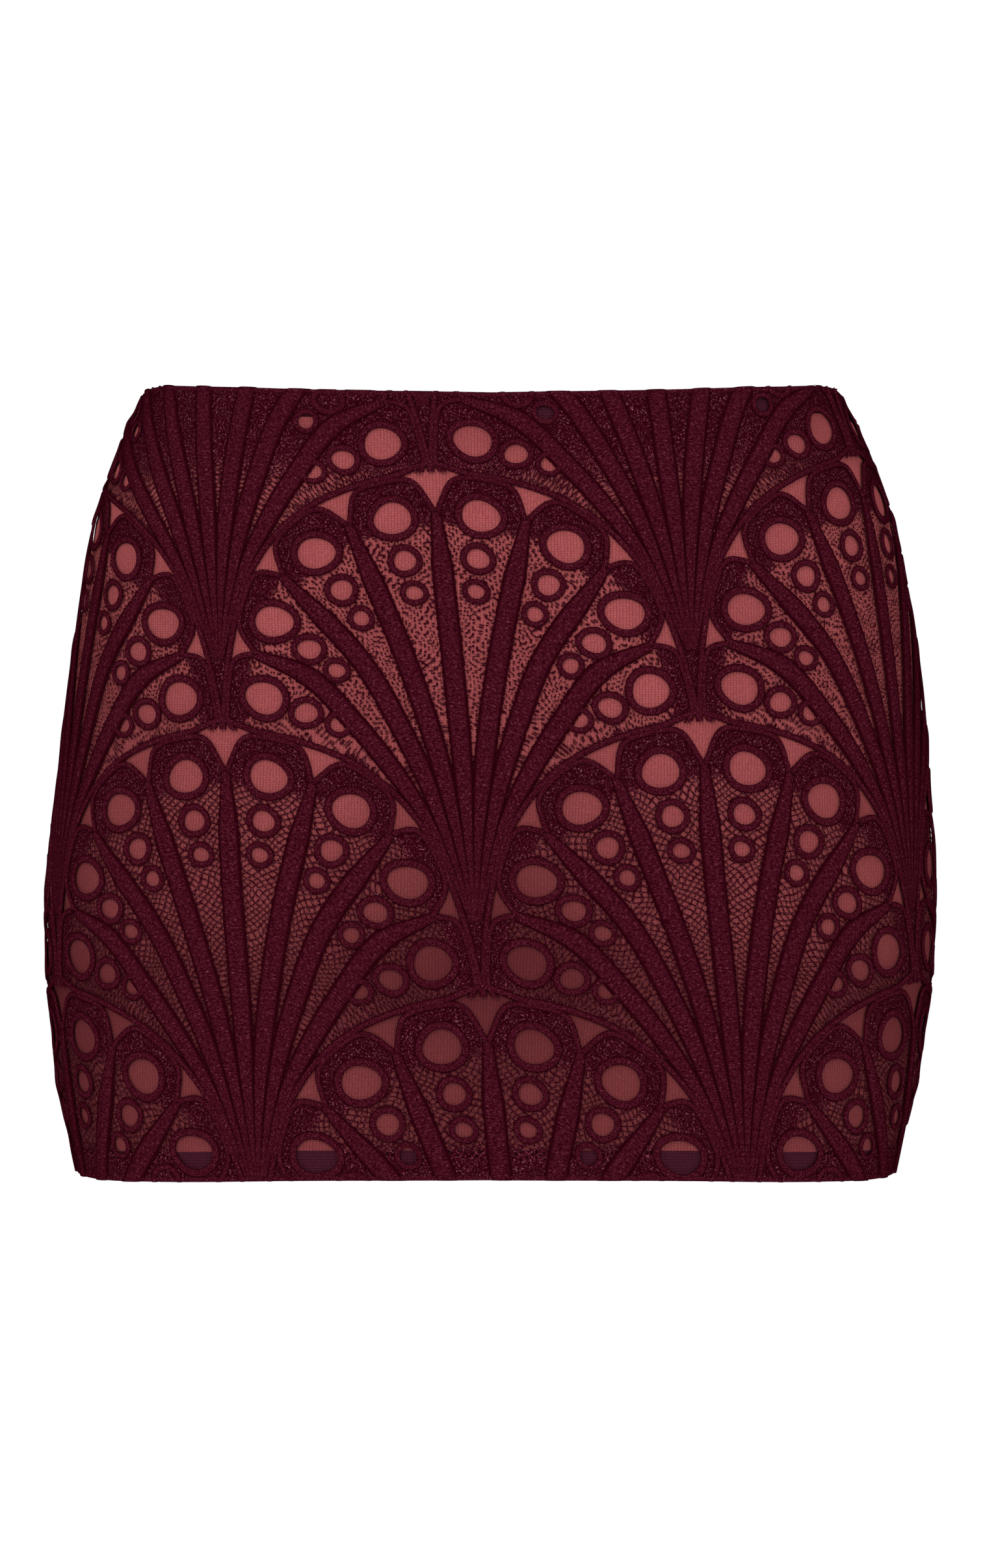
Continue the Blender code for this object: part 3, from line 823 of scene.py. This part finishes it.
def even_places(half, taken):
    """An even field of places over a panel, none near the taken ones."""
    reach = half.half_width(WIDEST)
    heights = np.arange(SECTIONS[0].height, SECTIONS[-1].height, NET_STEP * math.sqrt(3) / 2)
    field = []
    for i, height in enumerate(heights):
        along = np.arange(-reach, reach, NET_STEP) + (i % 2) * NET_STEP / 2
        field.append(np.stack([along, np.full(len(along), height)], axis=-1))
    field = np.concatenate(field)
    field = field[half.inside(field[:, 0], field[:, 1], NET_CLEAR)]
    tree = KDTree(len(taken))
    for i, place in enumerate(taken):
        tree.insert((*place, 0), i)
    tree.balance()
    return np.array([place for place in field if tree.find((*place, 0))[2] > NET_CLEAR])


def divide(outline, gaps, loose):
    """The places and the triangles that fill an outline but for its gaps."""
    loops, places = [], []
    for loop in [outline, *gaps]:
        loops.append(list(range(len(places), len(places) + len(loop))))
        places.extend(loop)
    places.extend(loose)
    scaled = [Vector((x / MM, y / MM)) for x, y in places]
    found, _, triangles, _, _, sources = delaunay_2d_cdt(scaled, [], loops, 1, 1e-4)
    kept = [face for face, source in zip(triangles, sources) if list(source) == [0]]
    return np.array([tuple(v) for v in found]) * MM, np.array(kept)


def along_line(line, places):
    """For each place, the run of the line's nearest point, how far to its right and how far off it lies."""
    start, step = line[:-1], np.diff(line, axis=0)
    lengths = np.linalg.norm(step, axis=1)
    run = run_along(line)[:-1]
    apart = places[:, None] - start
    t = np.clip((apart * step).sum(axis=2) / lengths**2, 0, 1)
    off = apart - step * t[..., None]
    distance = np.linalg.norm(off, axis=2)
    best = distance.argmin(axis=1)
    pick = np.arange(len(places)), best
    across = (step[best, 0] * apart[pick][:, 1] - step[best, 1] * apart[pick][:, 0]) / lengths[best]
    return run[best] + t[pick] * lengths[best], -across, distance[pick]


def net_cells(petal, run, across, lace):
    """Places in a petal's net, in cells: they are wider than high where the net is bars from rib to rib."""
    bars_from = PETAL_NETS[abs(petal) - 1].bars_from
    wide = lace.cell_wide * (1 + BARS_WIDER * eased(run, bars_from, bars_from + BARS_OVER))
    closer = np.maximum(0, run - bars_from) * BARS_CLOSER
    return np.stack([across / wide, (run + closer) / lace.cell_high], axis=-1)


def opening(distance, closing):
    """How open the net is at some distances from where it closes."""
    low, high = closing.middle - closing.half_over, closing.middle + closing.half_over
    return closing.least + (1 - closing.least) * eased(distance, low, high)


def net_open(half, along, height, rows, own):
    """How open the net is at some places of a panel, from 0 to 1."""
    turn, distance = hub_turn(own)
    turn = np.clip(np.abs(turn), 0, ARCH[-1].turn)
    inset = np.where(own[:, 1] < HUB_UP, HUB_UP, arch_distance(turn) - distance)
    petal = np.clip((turn / PETAL_TURN).astype(int), 0, len(PETAL_NETS) - 1)
    closed_tip = np.array([net.closed_tip for net in PETAL_NETS])[petal]
    share = along / half.half_width(height)
    opened = opening(inset, Closing(closed_tip, TIP_OPENS_OVER, 0.0))
    opened *= opening(own[:, 1], CLOSED_ABOVE_BASE)
    opened *= opening(half.edge("waist", share) - height, CLOSED_BELOW_WAIST)
    opened *= opening(height - half.edge("hem", share), CLOSED_ABOVE_HEM)
    return np.where(rows == NO_FAN, 0, opened)


def net_corners(faces_in_repeat, lace):
    """The net's cell coordinates at each corner of each triangle, along the petal that it lies in."""
    middles = faces_in_repeat.mean(axis=1)
    rows, own = fan_at(middles)
    corners = own[:, None] + faces_in_repeat - middles[:, None]
    lines = [petal_middle(petal) for petal in PETALS]
    nearest = np.stack([along_line(line, own)[2] for line in lines]).argmin(axis=0)
    cells = np.zeros((len(own), 3, 2))
    for i, petal in enumerate(PETALS):
        chosen = nearest == i
        run, across, _ = along_line(lines[i], corners[chosen].reshape(-1, 2))
        cells[chosen] = net_cells(petal, run, across, lace).reshape(-1, 3, 2) + [0, i * CELLS_TO_NEXT_PETAL]
    return cells + (rows % ROWS_THAT_DIFFER)[:, None, None] * CELLS_TO_NEXT_ROW


def lace_ground(half, lace, material):
    """The net that carries the stitching, cut out at its windows and eyelets."""
    outline = panel_outline(half)
    gaps = ground_gaps(half)
    places, triangles = divide(outline, gaps, even_places(half, np.concatenate([outline, *gaps])))
    along, height = places.T
    repeat = in_repeat(along, height)
    rows, own = fan_at(repeat)
    crossed = np.clip(CROSSED_IN_FIRST_ROW - rows * CROSSED_LESS_PER_ROW, 0, 1)
    values = {OPEN_NAME: net_open(half, along, height, rows, own), WOVEN_NAME: crossed}
    cells = net_corners(repeat[triangles], lace).reshape(-1, 2)
    points = half.place(along, height, np.full(len(places), -NET_DEPTH))
    piece = mesh_piece("lace_net_" + half.name, points, triangles, material, cells, values)
    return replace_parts(piece, "lace_" + half.name)


def state_cut(piece, half, above_hem, below_waist):
    """Works out the heights, the shares and the edges of a panel that ends so far from the cut edges, and
    keeps none of them.
    """
    levels = np.linspace(SECTIONS[0].height, SECTIONS[-1].height, 400)
    shares = np.linspace(-1, 1, 201)
    lows = half.edge("hem", shares) + above_hem
    highs = half.edge("waist", shares) - below_waist
    width = half.half_width(levels)


def painted_knit_lightness(along, height):
    """How light the knit is painted under its painted shade, from 0 to 1."""
    tone = 1 - LOW_SHADE * eased(-height, -LOW_SHADE_FROM, -LOW_SHADE_TO)
    for shade in PAINTED_KNIT_SHADES:
        aside, above = (along - shade.along) / shade.half_wide, (height - shade.height) / shade.half_high
        tone = tone * (1 - shade.depth * np.exp(-(aside**2 + above**2)))
    return tone


def lining_shell(half, material):
    """A thin shell of knit, from behind the elastic to behind the hem tape."""
    shares = np.linspace(-1, 1, 161)
    lows = half.edge("hem", shares) + HEM_BAND - LINING_TUCK
    highs = half.edge("waist", shares) - WAIST_BAND + LINING_TUCK
    heights = lows + np.linspace(0, 1, 101)[:, None] * (highs - lows)
    along = shares * half.half_width(heights)
    points = half.place(along, heights, np.full(along.shape, -LINING_DEPTH))
    # The painted shade of the knit, over the panel.
    values = {PAINTED_LIGHTNESS_NAME: painted_knit_lightness(along, heights).ravel()}
    name = "lining_shell_" + half.name
    piece = grid_piece(name, points, along / MM, heights / MM, material, point_values=values)
    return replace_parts(piece, "lining_" + half.name)


def all_round(halves, edge, section, count):
    """Points of a strip all round, its section (offset from the cut edge, rise), and their runs in mm."""
    shares = np.linspace(-1, 1, count)[:-1]
    around, runs, run = [], [], 0.0
    for half in halves:
        columns = []
        for offset, rise in section:
            heights = half.edge(edge, shares) + offset
            columns.append(half.place(shares * half.half_width(heights), heights, np.full(len(shares), rise)))
        around.append(np.stack(columns, axis=1))
        width = half.half_width(EDGES[half.name][0].waist)
        runs.append(run + (shares + 1) * width)
        run += 2 * width
    return np.concatenate(around + [around[0][:1]]), np.concatenate(runs + [[run]])[:, None] / MM


def band_strip(name, halves, edge, low, high, material):
    """A closed strip all round, woven, with an inside and an outside joined at its edges."""
    outside, inside = -STRIP_DEPTH, -STRIP_DEPTH - STRIP_THICK
    corners = np.array([(low, outside), (high, outside), (high, inside), (low, inside), (low, outside)])
    section = corners[:1]
    for start, end in zip(corners, corners[1:]):
        steps = np.linspace(0, 1, 9 if start[0] != end[0] else 3)[1:, None]
        section = np.concatenate([section, start + steps * (end - start)])
    points, runs = all_round(halves, edge, section, 121)
    return grid_piece(name, points, runs, run_along(section) / MM, material, flip=True)


def rolled_edge(halves, edge, material):
    """The narrow stitched roll that closes the lace over the strip behind it, all round."""
    inwards = -1 if edge == "waist" else 1
    points, runs = all_round(halves, edge, [(inwards * inset, rise) for inset, rise in EDGE_ROLL], 241)
    across = np.linspace(-0.9, 0.9, len(EDGE_ROLL))
    return grid_piece(edge + "_roll", points, across, runs, material, flip=inwards < 0)


def side_seam(halves, side, material):
    """The ridge where the two lace panels are joined, on side -1 or 1."""
    heights = np.linspace(EDGES["front"][-1].hem + 1 * MM, EDGES["front"][-1].waist - 1 * MM, 240)
    columns, across = [], []
    for half, sign, ridge in zip(halves, (1, -1), (SEAM_RIDGE, SEAM_RIDGE[1::-1])):
        for inset, rise in ridge:
            along = side * sign * (half.half_width(heights) - inset)
            columns.append(half.place(along, heights, np.full(len(heights), rise)))
            across.append(-sign * inset / (2 * MM))
    name = "side_seam_left" if side > 0 else "side_seam_right"
    points = np.stack(columns, axis=1)
    return grid_piece(name, points, across, heights[:, None] / MM, material, flip=side < 0)


# --- finishes ---


class Finish:
    """A material and the nodes that feed its shader."""

    def __init__(self, name, roughness):
        self.material = bpy.data.materials.new(name)
        self.material.use_nodes = True
        self.tree = self.material.node_tree
        self.shader = self.tree.nodes["Principled BSDF"]
        self.shader.inputs["Roughness"].default_value = roughness
        self.shader.inputs["Specular IOR Level"].default_value = 0.0

    def feed(self, socket, value):
        if isinstance(value, bpy.types.NodeSocket):
            self.tree.links.new(value, socket)
        else:
            socket.default_value = value

    def node(self, kind, inputs, **settings):
        made = self.tree.nodes.new("ShaderNode" + kind)
        for name, value in settings.items():
            setattr(made, name, value)
        for name, value in inputs.items():
            self.feed(made.inputs[name], value)
        return made

    def math(self, operation, *values):
        return self.node("Math", dict(enumerate(values)), operation=operation).outputs[0]

    def plus(self, first, second):
        return self.math("ADD", first, second)

    def times(self, first, second):
        return self.math("MULTIPLY", first, second)

    def zigzag(self, value, pitch):
        """0 at each multiple of the pitch, and 0.5 half way to the next."""
        return self.math("PINGPONG", self.math("DIVIDE", value, pitch), 0.5)

    def ranged(self, value, low, high, to_low=0.0, to_high=1.0, kind="LINEAR"):
        inputs = {"Value": value, "From Min": low, "From Max": high, "To Min": to_low, "To Max": to_high}
        return self.node("MapRange", inputs, interpolation_type=kind).outputs[0]

    def eased(self, value, low, high, to_low=0.0, to_high=1.0):
        return self.ranged(value, low, high, to_low, to_high, "SMOOTHSTEP")

    def mixed(self, share, first, second):
        """A mix of two colours, or of two values."""
        if isinstance(first, bpy.types.NodeSocket) and first.type == "VALUE":
            return self.node("Mix", {0: share, 2: first, 3: second}, data_type="FLOAT").outputs[0]
        first, second = (x if isinstance(x, bpy.types.NodeSocket) else (*x, 1) for x in (first, second))
        return self.node("Mix", {0: share, 6: first, 7: second}, data_type="RGBA").outputs[2]

    def uv(self):
        made = self.node("UVMap", {}, uv_map=UV_NAME)
        parts = self.node("SeparateXYZ", {0: made.outputs[0]})
        return made.outputs[0], parts.outputs[0], parts.outputs[1]

    def value(self, name):
        return self.node("Attribute", {}, attribute_name=name).outputs["Fac"]

    def vector(self, x, y):
        return self.node("CombineXYZ", {0: x, 1: y}).outputs[0]

    def noise(self, vector, scale, detail=2.0):
        return self.node("TexNoise", {"Vector": vector, "Scale": scale, "Detail": detail}).outputs[0]

    def spots(self, vector, scale, feature="F1", randomness=1.0, dimensions="3D"):
        inputs = {"Vector": vector, "Scale": scale, "Randomness": randomness}
        settings = {"feature": feature, "voronoi_dimensions": dimensions}
        return self.node("TexVoronoi", inputs, **settings).outputs["Distance"]

    def place_mm(self):
        """The place in space, in millimetres."""
        coordinates = self.node("TexCoord", {}).outputs["Object"]
        return self.node("VectorMath", {0: coordinates, "Scale": 1 / MM}, operation="SCALE").outputs[0]

    def thread(self, lace, lit, painted_highlights):
        """Thread painted between its shade and its lit colour, with painted highlights in specks where it is
        lit, and painted shade where the lace turns away from the view.
        """
        facing = self.node("LayerWeight", {"Blend": 0.5}).outputs["Facing"]
        lit = self.times(lit, self.eased(facing, 0.25, 0.95, 1.0, 0.25))
        plain = self.mixed(lit, lace.shade_colour, lace.thread_colour)
        self.colour(self.mixed(self.times(painted_highlights, lit), plain, lace.painted_highlight_colour))

    def bump(self, height, distance):
        made = self.node("Bump", {"Height": height, "Distance": distance})
        self.feed(self.shader.inputs["Normal"], made.outputs[0])

    def colour(self, value):
        self.feed(self.shader.inputs["Base Color"], value)

    def alpha(self, value):
        self.feed(self.shader.inputs["Alpha"], value)


def satin_finish(lace, name, pitch, slant, edge=1.0):
    """Close stitches across a strip, with shade painted between the stitches and towards its edge, dark and
    toothed beyond its edge.
    """
    finish = Finish(name, 0.62)
    _, across, run = finish.uv()
    place = finish.place_mm()
    wander = finish.noise(place, 0.45)
    grain = finish.noise(place, 1.5, 3.0)
    phase = finish.plus(finish.times(across, slant), run)
    phase = finish.plus(phase, finish.times(wander, 1.2))
    stitch = finish.eased(finish.zigzag(phase, pitch), 0.0, 0.36)
    streak = finish.noise(finish.vector(finish.times(across, 1.6), phase), 1.5)
    rim = finish.plus(finish.math("ABSOLUTE", across), finish.ranged(grain, 0.0, 1.0, -0.275, 0.275))
    mottle = finish.plus(finish.times(streak, 0.5), finish.times(grain, 0.5))
    # Painted light and shade: a random mottle, with shade painted between the stitches and towards the edge.
    lit = finish.times(finish.ranged(mottle, 0.38, 0.64, 0.0, 0.85), finish.ranged(stitch, 0, 1, 0.6, 1.0))
    lit = finish.times(lit, finish.eased(rim, edge, edge - 0.28, 0.12, 1.0))
    finish.thread(lace, lit, finish.eased(mottle, 0.54, 0.74, 0.0, 0.45))
    finish.bump(finish.plus(finish.times(stitch, 0.5), finish.times(mottle, 1.6)), 0.30 * MM)
    finish.alpha(finish.eased(rim, edge + 0.20, edge + 0.12))
    return finish.material


def net_finish(lace):
    """Knotted net of uneven cells, closing into dense stitching where it isn't open."""
    finish = Finish("lace net", 0.75)
    uv, _, _ = finish.uv()
    place = finish.place_mm()
    drift = finish.node("TexNoise", {"Vector": place, "Scale": 0.11, "Detail": 0.0}).outputs["Color"]
    drift = finish.node("VectorMath", {0: drift, "Scale": 1.5}, operation="SCALE").outputs[0]
    moved = finish.node("VectorMath", {0: uv, 1: drift}, operation="ADD").outputs[0]
    parts = finish.node("SeparateXYZ", {0: moved})
    rising = finish.plus(parts.outputs[0], parts.outputs[1])
    falling = finish.math("SUBTRACT", parts.outputs[0], parts.outputs[1])
    uneven = finish.spots(finish.vector(rising, falling), 1.0, "DISTANCE_TO_EDGE", 0.36, "2D")
    crossed = finish.math("MINIMUM", finish.zigzag(rising, 1.0), finish.zigzag(falling, 1.0))
    from_thread = finish.mixed(finish.value(WOVEN_NAME), uneven, crossed)
    opened = finish.value(OPEN_NAME)
    thread = finish.ranged(opened, 0.0, 1.0, 0.62, lace.net_thread)
    thread = finish.plus(thread, finish.ranged(finish.noise(place, 0.30), 0.3, 0.7, -0.025, 0.025))
    share = finish.math("DIVIDE", from_thread, thread)
    finish.alpha(finish.eased(share, 1.10, 0.92))
    grain = finish.noise(place, 1.5, 3.0)
    knots = finish.eased(finish.spots(place, 1.1), 0.70, 0.20)
    dense = finish.eased(opened, 0.75, 0.25)
    lump = finish.mixed(dense, finish.eased(share, 1.0, 0.1), knots)
    # Painted shade: open threads are painted darker towards their sides, and the dense stitching darker
    # between its knots.
    lit = finish.times(finish.ranged(grain, 0.34, 0.68, 0.0, 0.9), finish.ranged(lump, 0, 1, 0.2, 1.0))
    finish.thread(lace, lit, finish.eased(grain, 0.54, 0.72, 0.0, 0.9))
    finish.bump(finish.plus(lump, finish.times(grain, 0.5)), 0.35 * MM)
    return finish.material


def knit_finish(lining):
    """Fine knit: columns of small Vs."""
    finish = Finish("fine knit", 0.85)
    _, along, height = finish.uv()
    place = finish.place_mm()
    shiver = finish.noise(place, 0.9)
    moved = finish.plus(along, finish.plus(finish.noise(place, 0.10), finish.times(shiver, 0.7)))
    leg = finish.zigzag(moved, lining.wale / MM)
    row = finish.math("DIVIDE", finish.plus(height, shiver), lining.course / MM)
    courses = finish.eased(finish.zigzag(finish.plus(row, leg), 1.0), 0.0, 0.35, 0.45, 1.0)
    stitches = finish.times(courses, finish.eased(leg, 0.02, 0.22, 0.35, 1.0))
    lit = finish.times(stitches, finish.ranged(finish.noise(place, 1.1), 0.3, 0.7, 0.6, 1.15))
    lit = finish.times(lit, finish.ranged(finish.noise(place, 0.025), 0.35, 0.65, 0.75, 1.05))
    # Painted light and shade: the stitches painted lit, and shade painted between them.
    knit = finish.mixed(lit, lining.knit_shade, lining.knit_colour)
    # Painted shade: where it lies, the knit darkens towards its deepest painted shade.
    painted_deepest_shade = tuple(x * share for x, share in zip(lining.knit_shade, DEEPEST_PAINTED_SHADE))
    finish.colour(finish.mixed(finish.value(PAINTED_LIGHTNESS_NAME), painted_deepest_shade, knit))
    finish.bump(stitches, 0.18 * MM)
    return finish.material


def strip_finish(lining):
    """Woven strip: fine ribs along its length, crossed by a fine weft."""
    finish = Finish("woven strip", 0.7)
    _, run, across = finish.uv()
    weft = finish.eased(finish.zigzag(run, 0.8), 0.0, 0.4, 0.3, 1.0)
    warp = finish.eased(finish.zigzag(across, 1.2), 0.0, 0.35, 0.4, 1.0)
    weave = finish.times(weft, warp)
    lit = finish.times(weave, finish.ranged(finish.noise(finish.place_mm(), 1.2), 0.3, 0.7, 0.5, 1.0))
    # Painted shade between the strip's threads, as a share of its colour.
    dark = tuple(x * STRIP_SHADE for x in lining.strip_colour)
    finish.colour(finish.mixed(lit, dark, lining.strip_colour))
    finish.bump(weave, 0.2 * MM)
    return finish.material


# --- operators ---


class SkirtOperator(bpy.types.Operator):
    """Common to the skirt's operators: the two halves of the form, made once."""

    bl_options = {"REGISTER", "UNDO"}
    halves = None

    def sides(self):
        if SkirtOperator.halves is None:
            SkirtOperator.halves = [Half("front"), Half("back")]
        return SkirtOperator.halves

    def lay(self, name, template, material):
        for half in self.sides():
            lay_on_panel(half, template, name + half.name, material)
        return {"FINISHED"}


class SKIRT_OT_lace_net(SkirtOperator):
    """Make the net of both lace panels, cut out at its windows and eyelets"""

    bl_idname = "skirt.lace_net"
    bl_label = "Lace Net"

    def execute(self, context):
        lace = context.scene.skirt_lace
        material = net_finish(lace)
        for half in self.sides():
            state_cut(lace_ground(half, lace, material), half, 0.0, 0.0)
        return {"FINISHED"}


class SKIRT_OT_satin_ribs(SkirtOperator):
    """Lay the satin-stitched ribs of every fan"""

    bl_idname = "skirt.satin_ribs"
    bl_label = "Satin Ribs"

    def execute(self, context):
        lace = context.scene.skirt_lace
        material = satin_finish(lace, "satin rib", pitch=lace.stitch_pitch / MM, slant=0.5)
        return self.lay("satin_ribs_", rib_stitching(lace), material)


class SKIRT_OT_outline_cords(SkirtOperator):
    """Lay the cords round the petals and along the arches"""

    bl_idname = "skirt.outline_cords"
    bl_label = "Outline Cords"

    def execute(self, context):
        lace = context.scene.skirt_lace
        material = satin_finish(lace, "cord", pitch=1.1, slant=0.9)
        return self.lay("outline_cords_", cord_stitching(lace), material)


class SKIRT_OT_eyelet_rings(SkirtOperator):
    """Lay the stitched rings round the eyelets"""

    bl_idname = "skirt.eyelet_rings"
    bl_label = "Eyelet Rings"

    def execute(self, context):
        lace = context.scene.skirt_lace
        material = satin_finish(lace, "ring stitch", pitch=0.85, slant=0.3, edge=1.05)
        return self.lay("eyelet_rings_", ring_stitching(lace), material)


class SKIRT_OT_lining(SkirtOperator):
    """Make the two lining panels"""

    bl_idname = "skirt.lining"
    bl_label = "Lining"

    def execute(self, context):
        material = knit_finish(context.scene.skirt_lining)
        for half in self.sides():
            state_cut(lining_shell(half, material), half, HEM_BAND, WAIST_BAND)
        return {"FINISHED"}


class SKIRT_OT_strips(SkirtOperator):
    """Make the waist elastic and the hem tape"""

    bl_idname = "skirt.strips"
    bl_label = "Elastic and Tape"

    def execute(self, context):
        material = strip_finish(context.scene.skirt_lining)
        waist = band_strip("waist_elastic_strip", self.sides(), "waist", -WAIST_BAND, 0.0, material)
        hem = band_strip("hem_tape_strip", self.sides(), "hem", 0.0, HEM_BAND, material)
        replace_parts(waist, "waist_elastic")
        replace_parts(hem, "hem_tape")
        return {"FINISHED"}


class SKIRT_OT_edges(SkirtOperator):
    """Make the rolls along the waist and the hem, and the side seams"""

    bl_idname = "skirt.edges"
    bl_label = "Rolls and Seams"

    def execute(self, context):
        material = satin_finish(context.scene.skirt_lace, "roll stitch", pitch=0.9, slant=0.6, edge=1.15)
        for edge in ("waist", "hem"):
            rolled_edge(self.sides(), edge, material)
        for side in (-1, 1):
            side_seam(self.sides(), side, material)
        return {"FINISHED"}


class SKIRT_OT_stage(bpy.types.Operator):
    """Set the floor, the light and the camera"""

    bl_idname = "skirt.stage"
    bl_label = "Stage"
    bl_options = {"REGISTER", "UNDO"}

    def execute(self, context):
        stage = context.scene.skirt_stage
        add_floor(stage)
        add_lights()
        add_camera(stage)
        context.scene.view_settings.view_transform = "Standard"
        return {"FINISHED"}


FLOOR_HALF = 1.5
Lamp = namedtuple("Lamp", "name place size watts")
LAMPS = (
    Lamp("key", (-1.1, -2.4, 1.5), 1.2, 42),
    Lamp("fill", (1.8, -2.2, 0.3), 1.6, 14),
    Lamp("back", (0.4, 2.6, 1.6), 1.6, 26),
)
AIMED_AT = Vector((0, 0, -0.16))


def add_floor(stage):
    hem = min(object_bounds()[0][2], CAD_BOX[0][2])
    corners = [(x, y, hem - stage.floor_drop) for x, y in ((-1, -1), (1, -1), (1, 1), (-1, 1))]
    mesh = bpy.data.meshes.new("floor")
    mesh.from_pydata([(x * FLOOR_HALF, y * FLOOR_HALF, z) for x, y, z in corners], [], [(0, 1, 2, 3)])
    finish = Finish("pale floor", 0.9)
    finish.shader.inputs["Base Color"].default_value = (*stage.floor_colour, 1)
    mesh.materials.append(finish.material)
    floor = bpy.data.objects.new("floor", mesh)
    bpy.context.scene.collection.objects.link(floor)
    floor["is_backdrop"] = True


def add_lights():
    for lamp in LAMPS:
        light = bpy.data.lights.new(lamp.name, "AREA")
        light.size, light.energy = lamp.size, lamp.watts
        placed = bpy.data.objects.new(lamp.name, light)
        placed.location = lamp.place
        placed.rotation_euler = (AIMED_AT - placed.location).to_track_quat("-Z", "Y").to_euler()
        bpy.context.scene.collection.objects.link(placed)
    world = bpy.data.worlds.new("pale room")
    bpy.context.scene.world = world
    world.use_nodes = True
    background = world.node_tree.nodes["Background"]
    background.inputs["Color"].default_value = (1, 1, 1, 1)
    background.inputs["Strength"].default_value = 1.0


def add_camera(stage):
    camera = bpy.data.cameras.new("camera")
    camera.sensor_width = 36.0
    camera.lens = camera.sensor_width * stage.camera_distance / stage.view_height
    placed = bpy.data.objects.new("camera", camera)
    placed.location = (0, -stage.camera_distance, stage.camera_height)
    placed.rotation_euler = (math.pi / 2, 0, 0)
    bpy.context.scene.collection.objects.link(placed)
    bpy.context.scene.camera = placed


class SKIRT_PT_panel(bpy.types.Panel):
    """The skirt's pieces and settings"""

    bl_idname = "SKIRT_PT_panel"
    bl_label = "Lace Skirt"
    bl_space_type = "VIEW_3D"
    bl_region_type = "UI"
    bl_category = "Lace Skirt"

    def draw(self, context):
        for operator in OPERATORS:
            self.layout.operator(operator.bl_idname)
        for group in (context.scene.skirt_lace, context.scene.skirt_lining, context.scene.skirt_stage):
            box = self.layout.box()
            for name in group.__annotations__:
                box.prop(group, name)


SETTINGS = {"skirt_lace": LaceSettings, "skirt_lining": LiningSettings, "skirt_stage": StageSettings}
OPERATORS = (
    SKIRT_OT_strips,
    SKIRT_OT_lining,
    SKIRT_OT_lace_net,
    SKIRT_OT_satin_ribs,
    SKIRT_OT_outline_cords,
    SKIRT_OT_eyelet_rings,
    SKIRT_OT_edges,
    SKIRT_OT_stage,
)


def register():
    for made in (*SETTINGS.values(), *OPERATORS, SKIRT_PT_panel):
        bpy.utils.register_class(made)
    for name, group in SETTINGS.items():
        setattr(bpy.types.Scene, name, bpy.props.PointerProperty(type=group))


def unregister():
    for name in SETTINGS:
        delattr(bpy.types.Scene, name)
    for made in (SKIRT_PT_panel, *reversed(OPERATORS), *SETTINGS.values()):
        bpy.utils.unregister_class(made)


def main():
    register()
    for operator in OPERATORS:
        area, action = operator.bl_idname.split(".")
        if getattr(getattr(bpy.ops, area), action)() != {"FINISHED"}:
            raise RuntimeError(operator.bl_label + " did not finish")


if __name__ == "__main__":
    main()
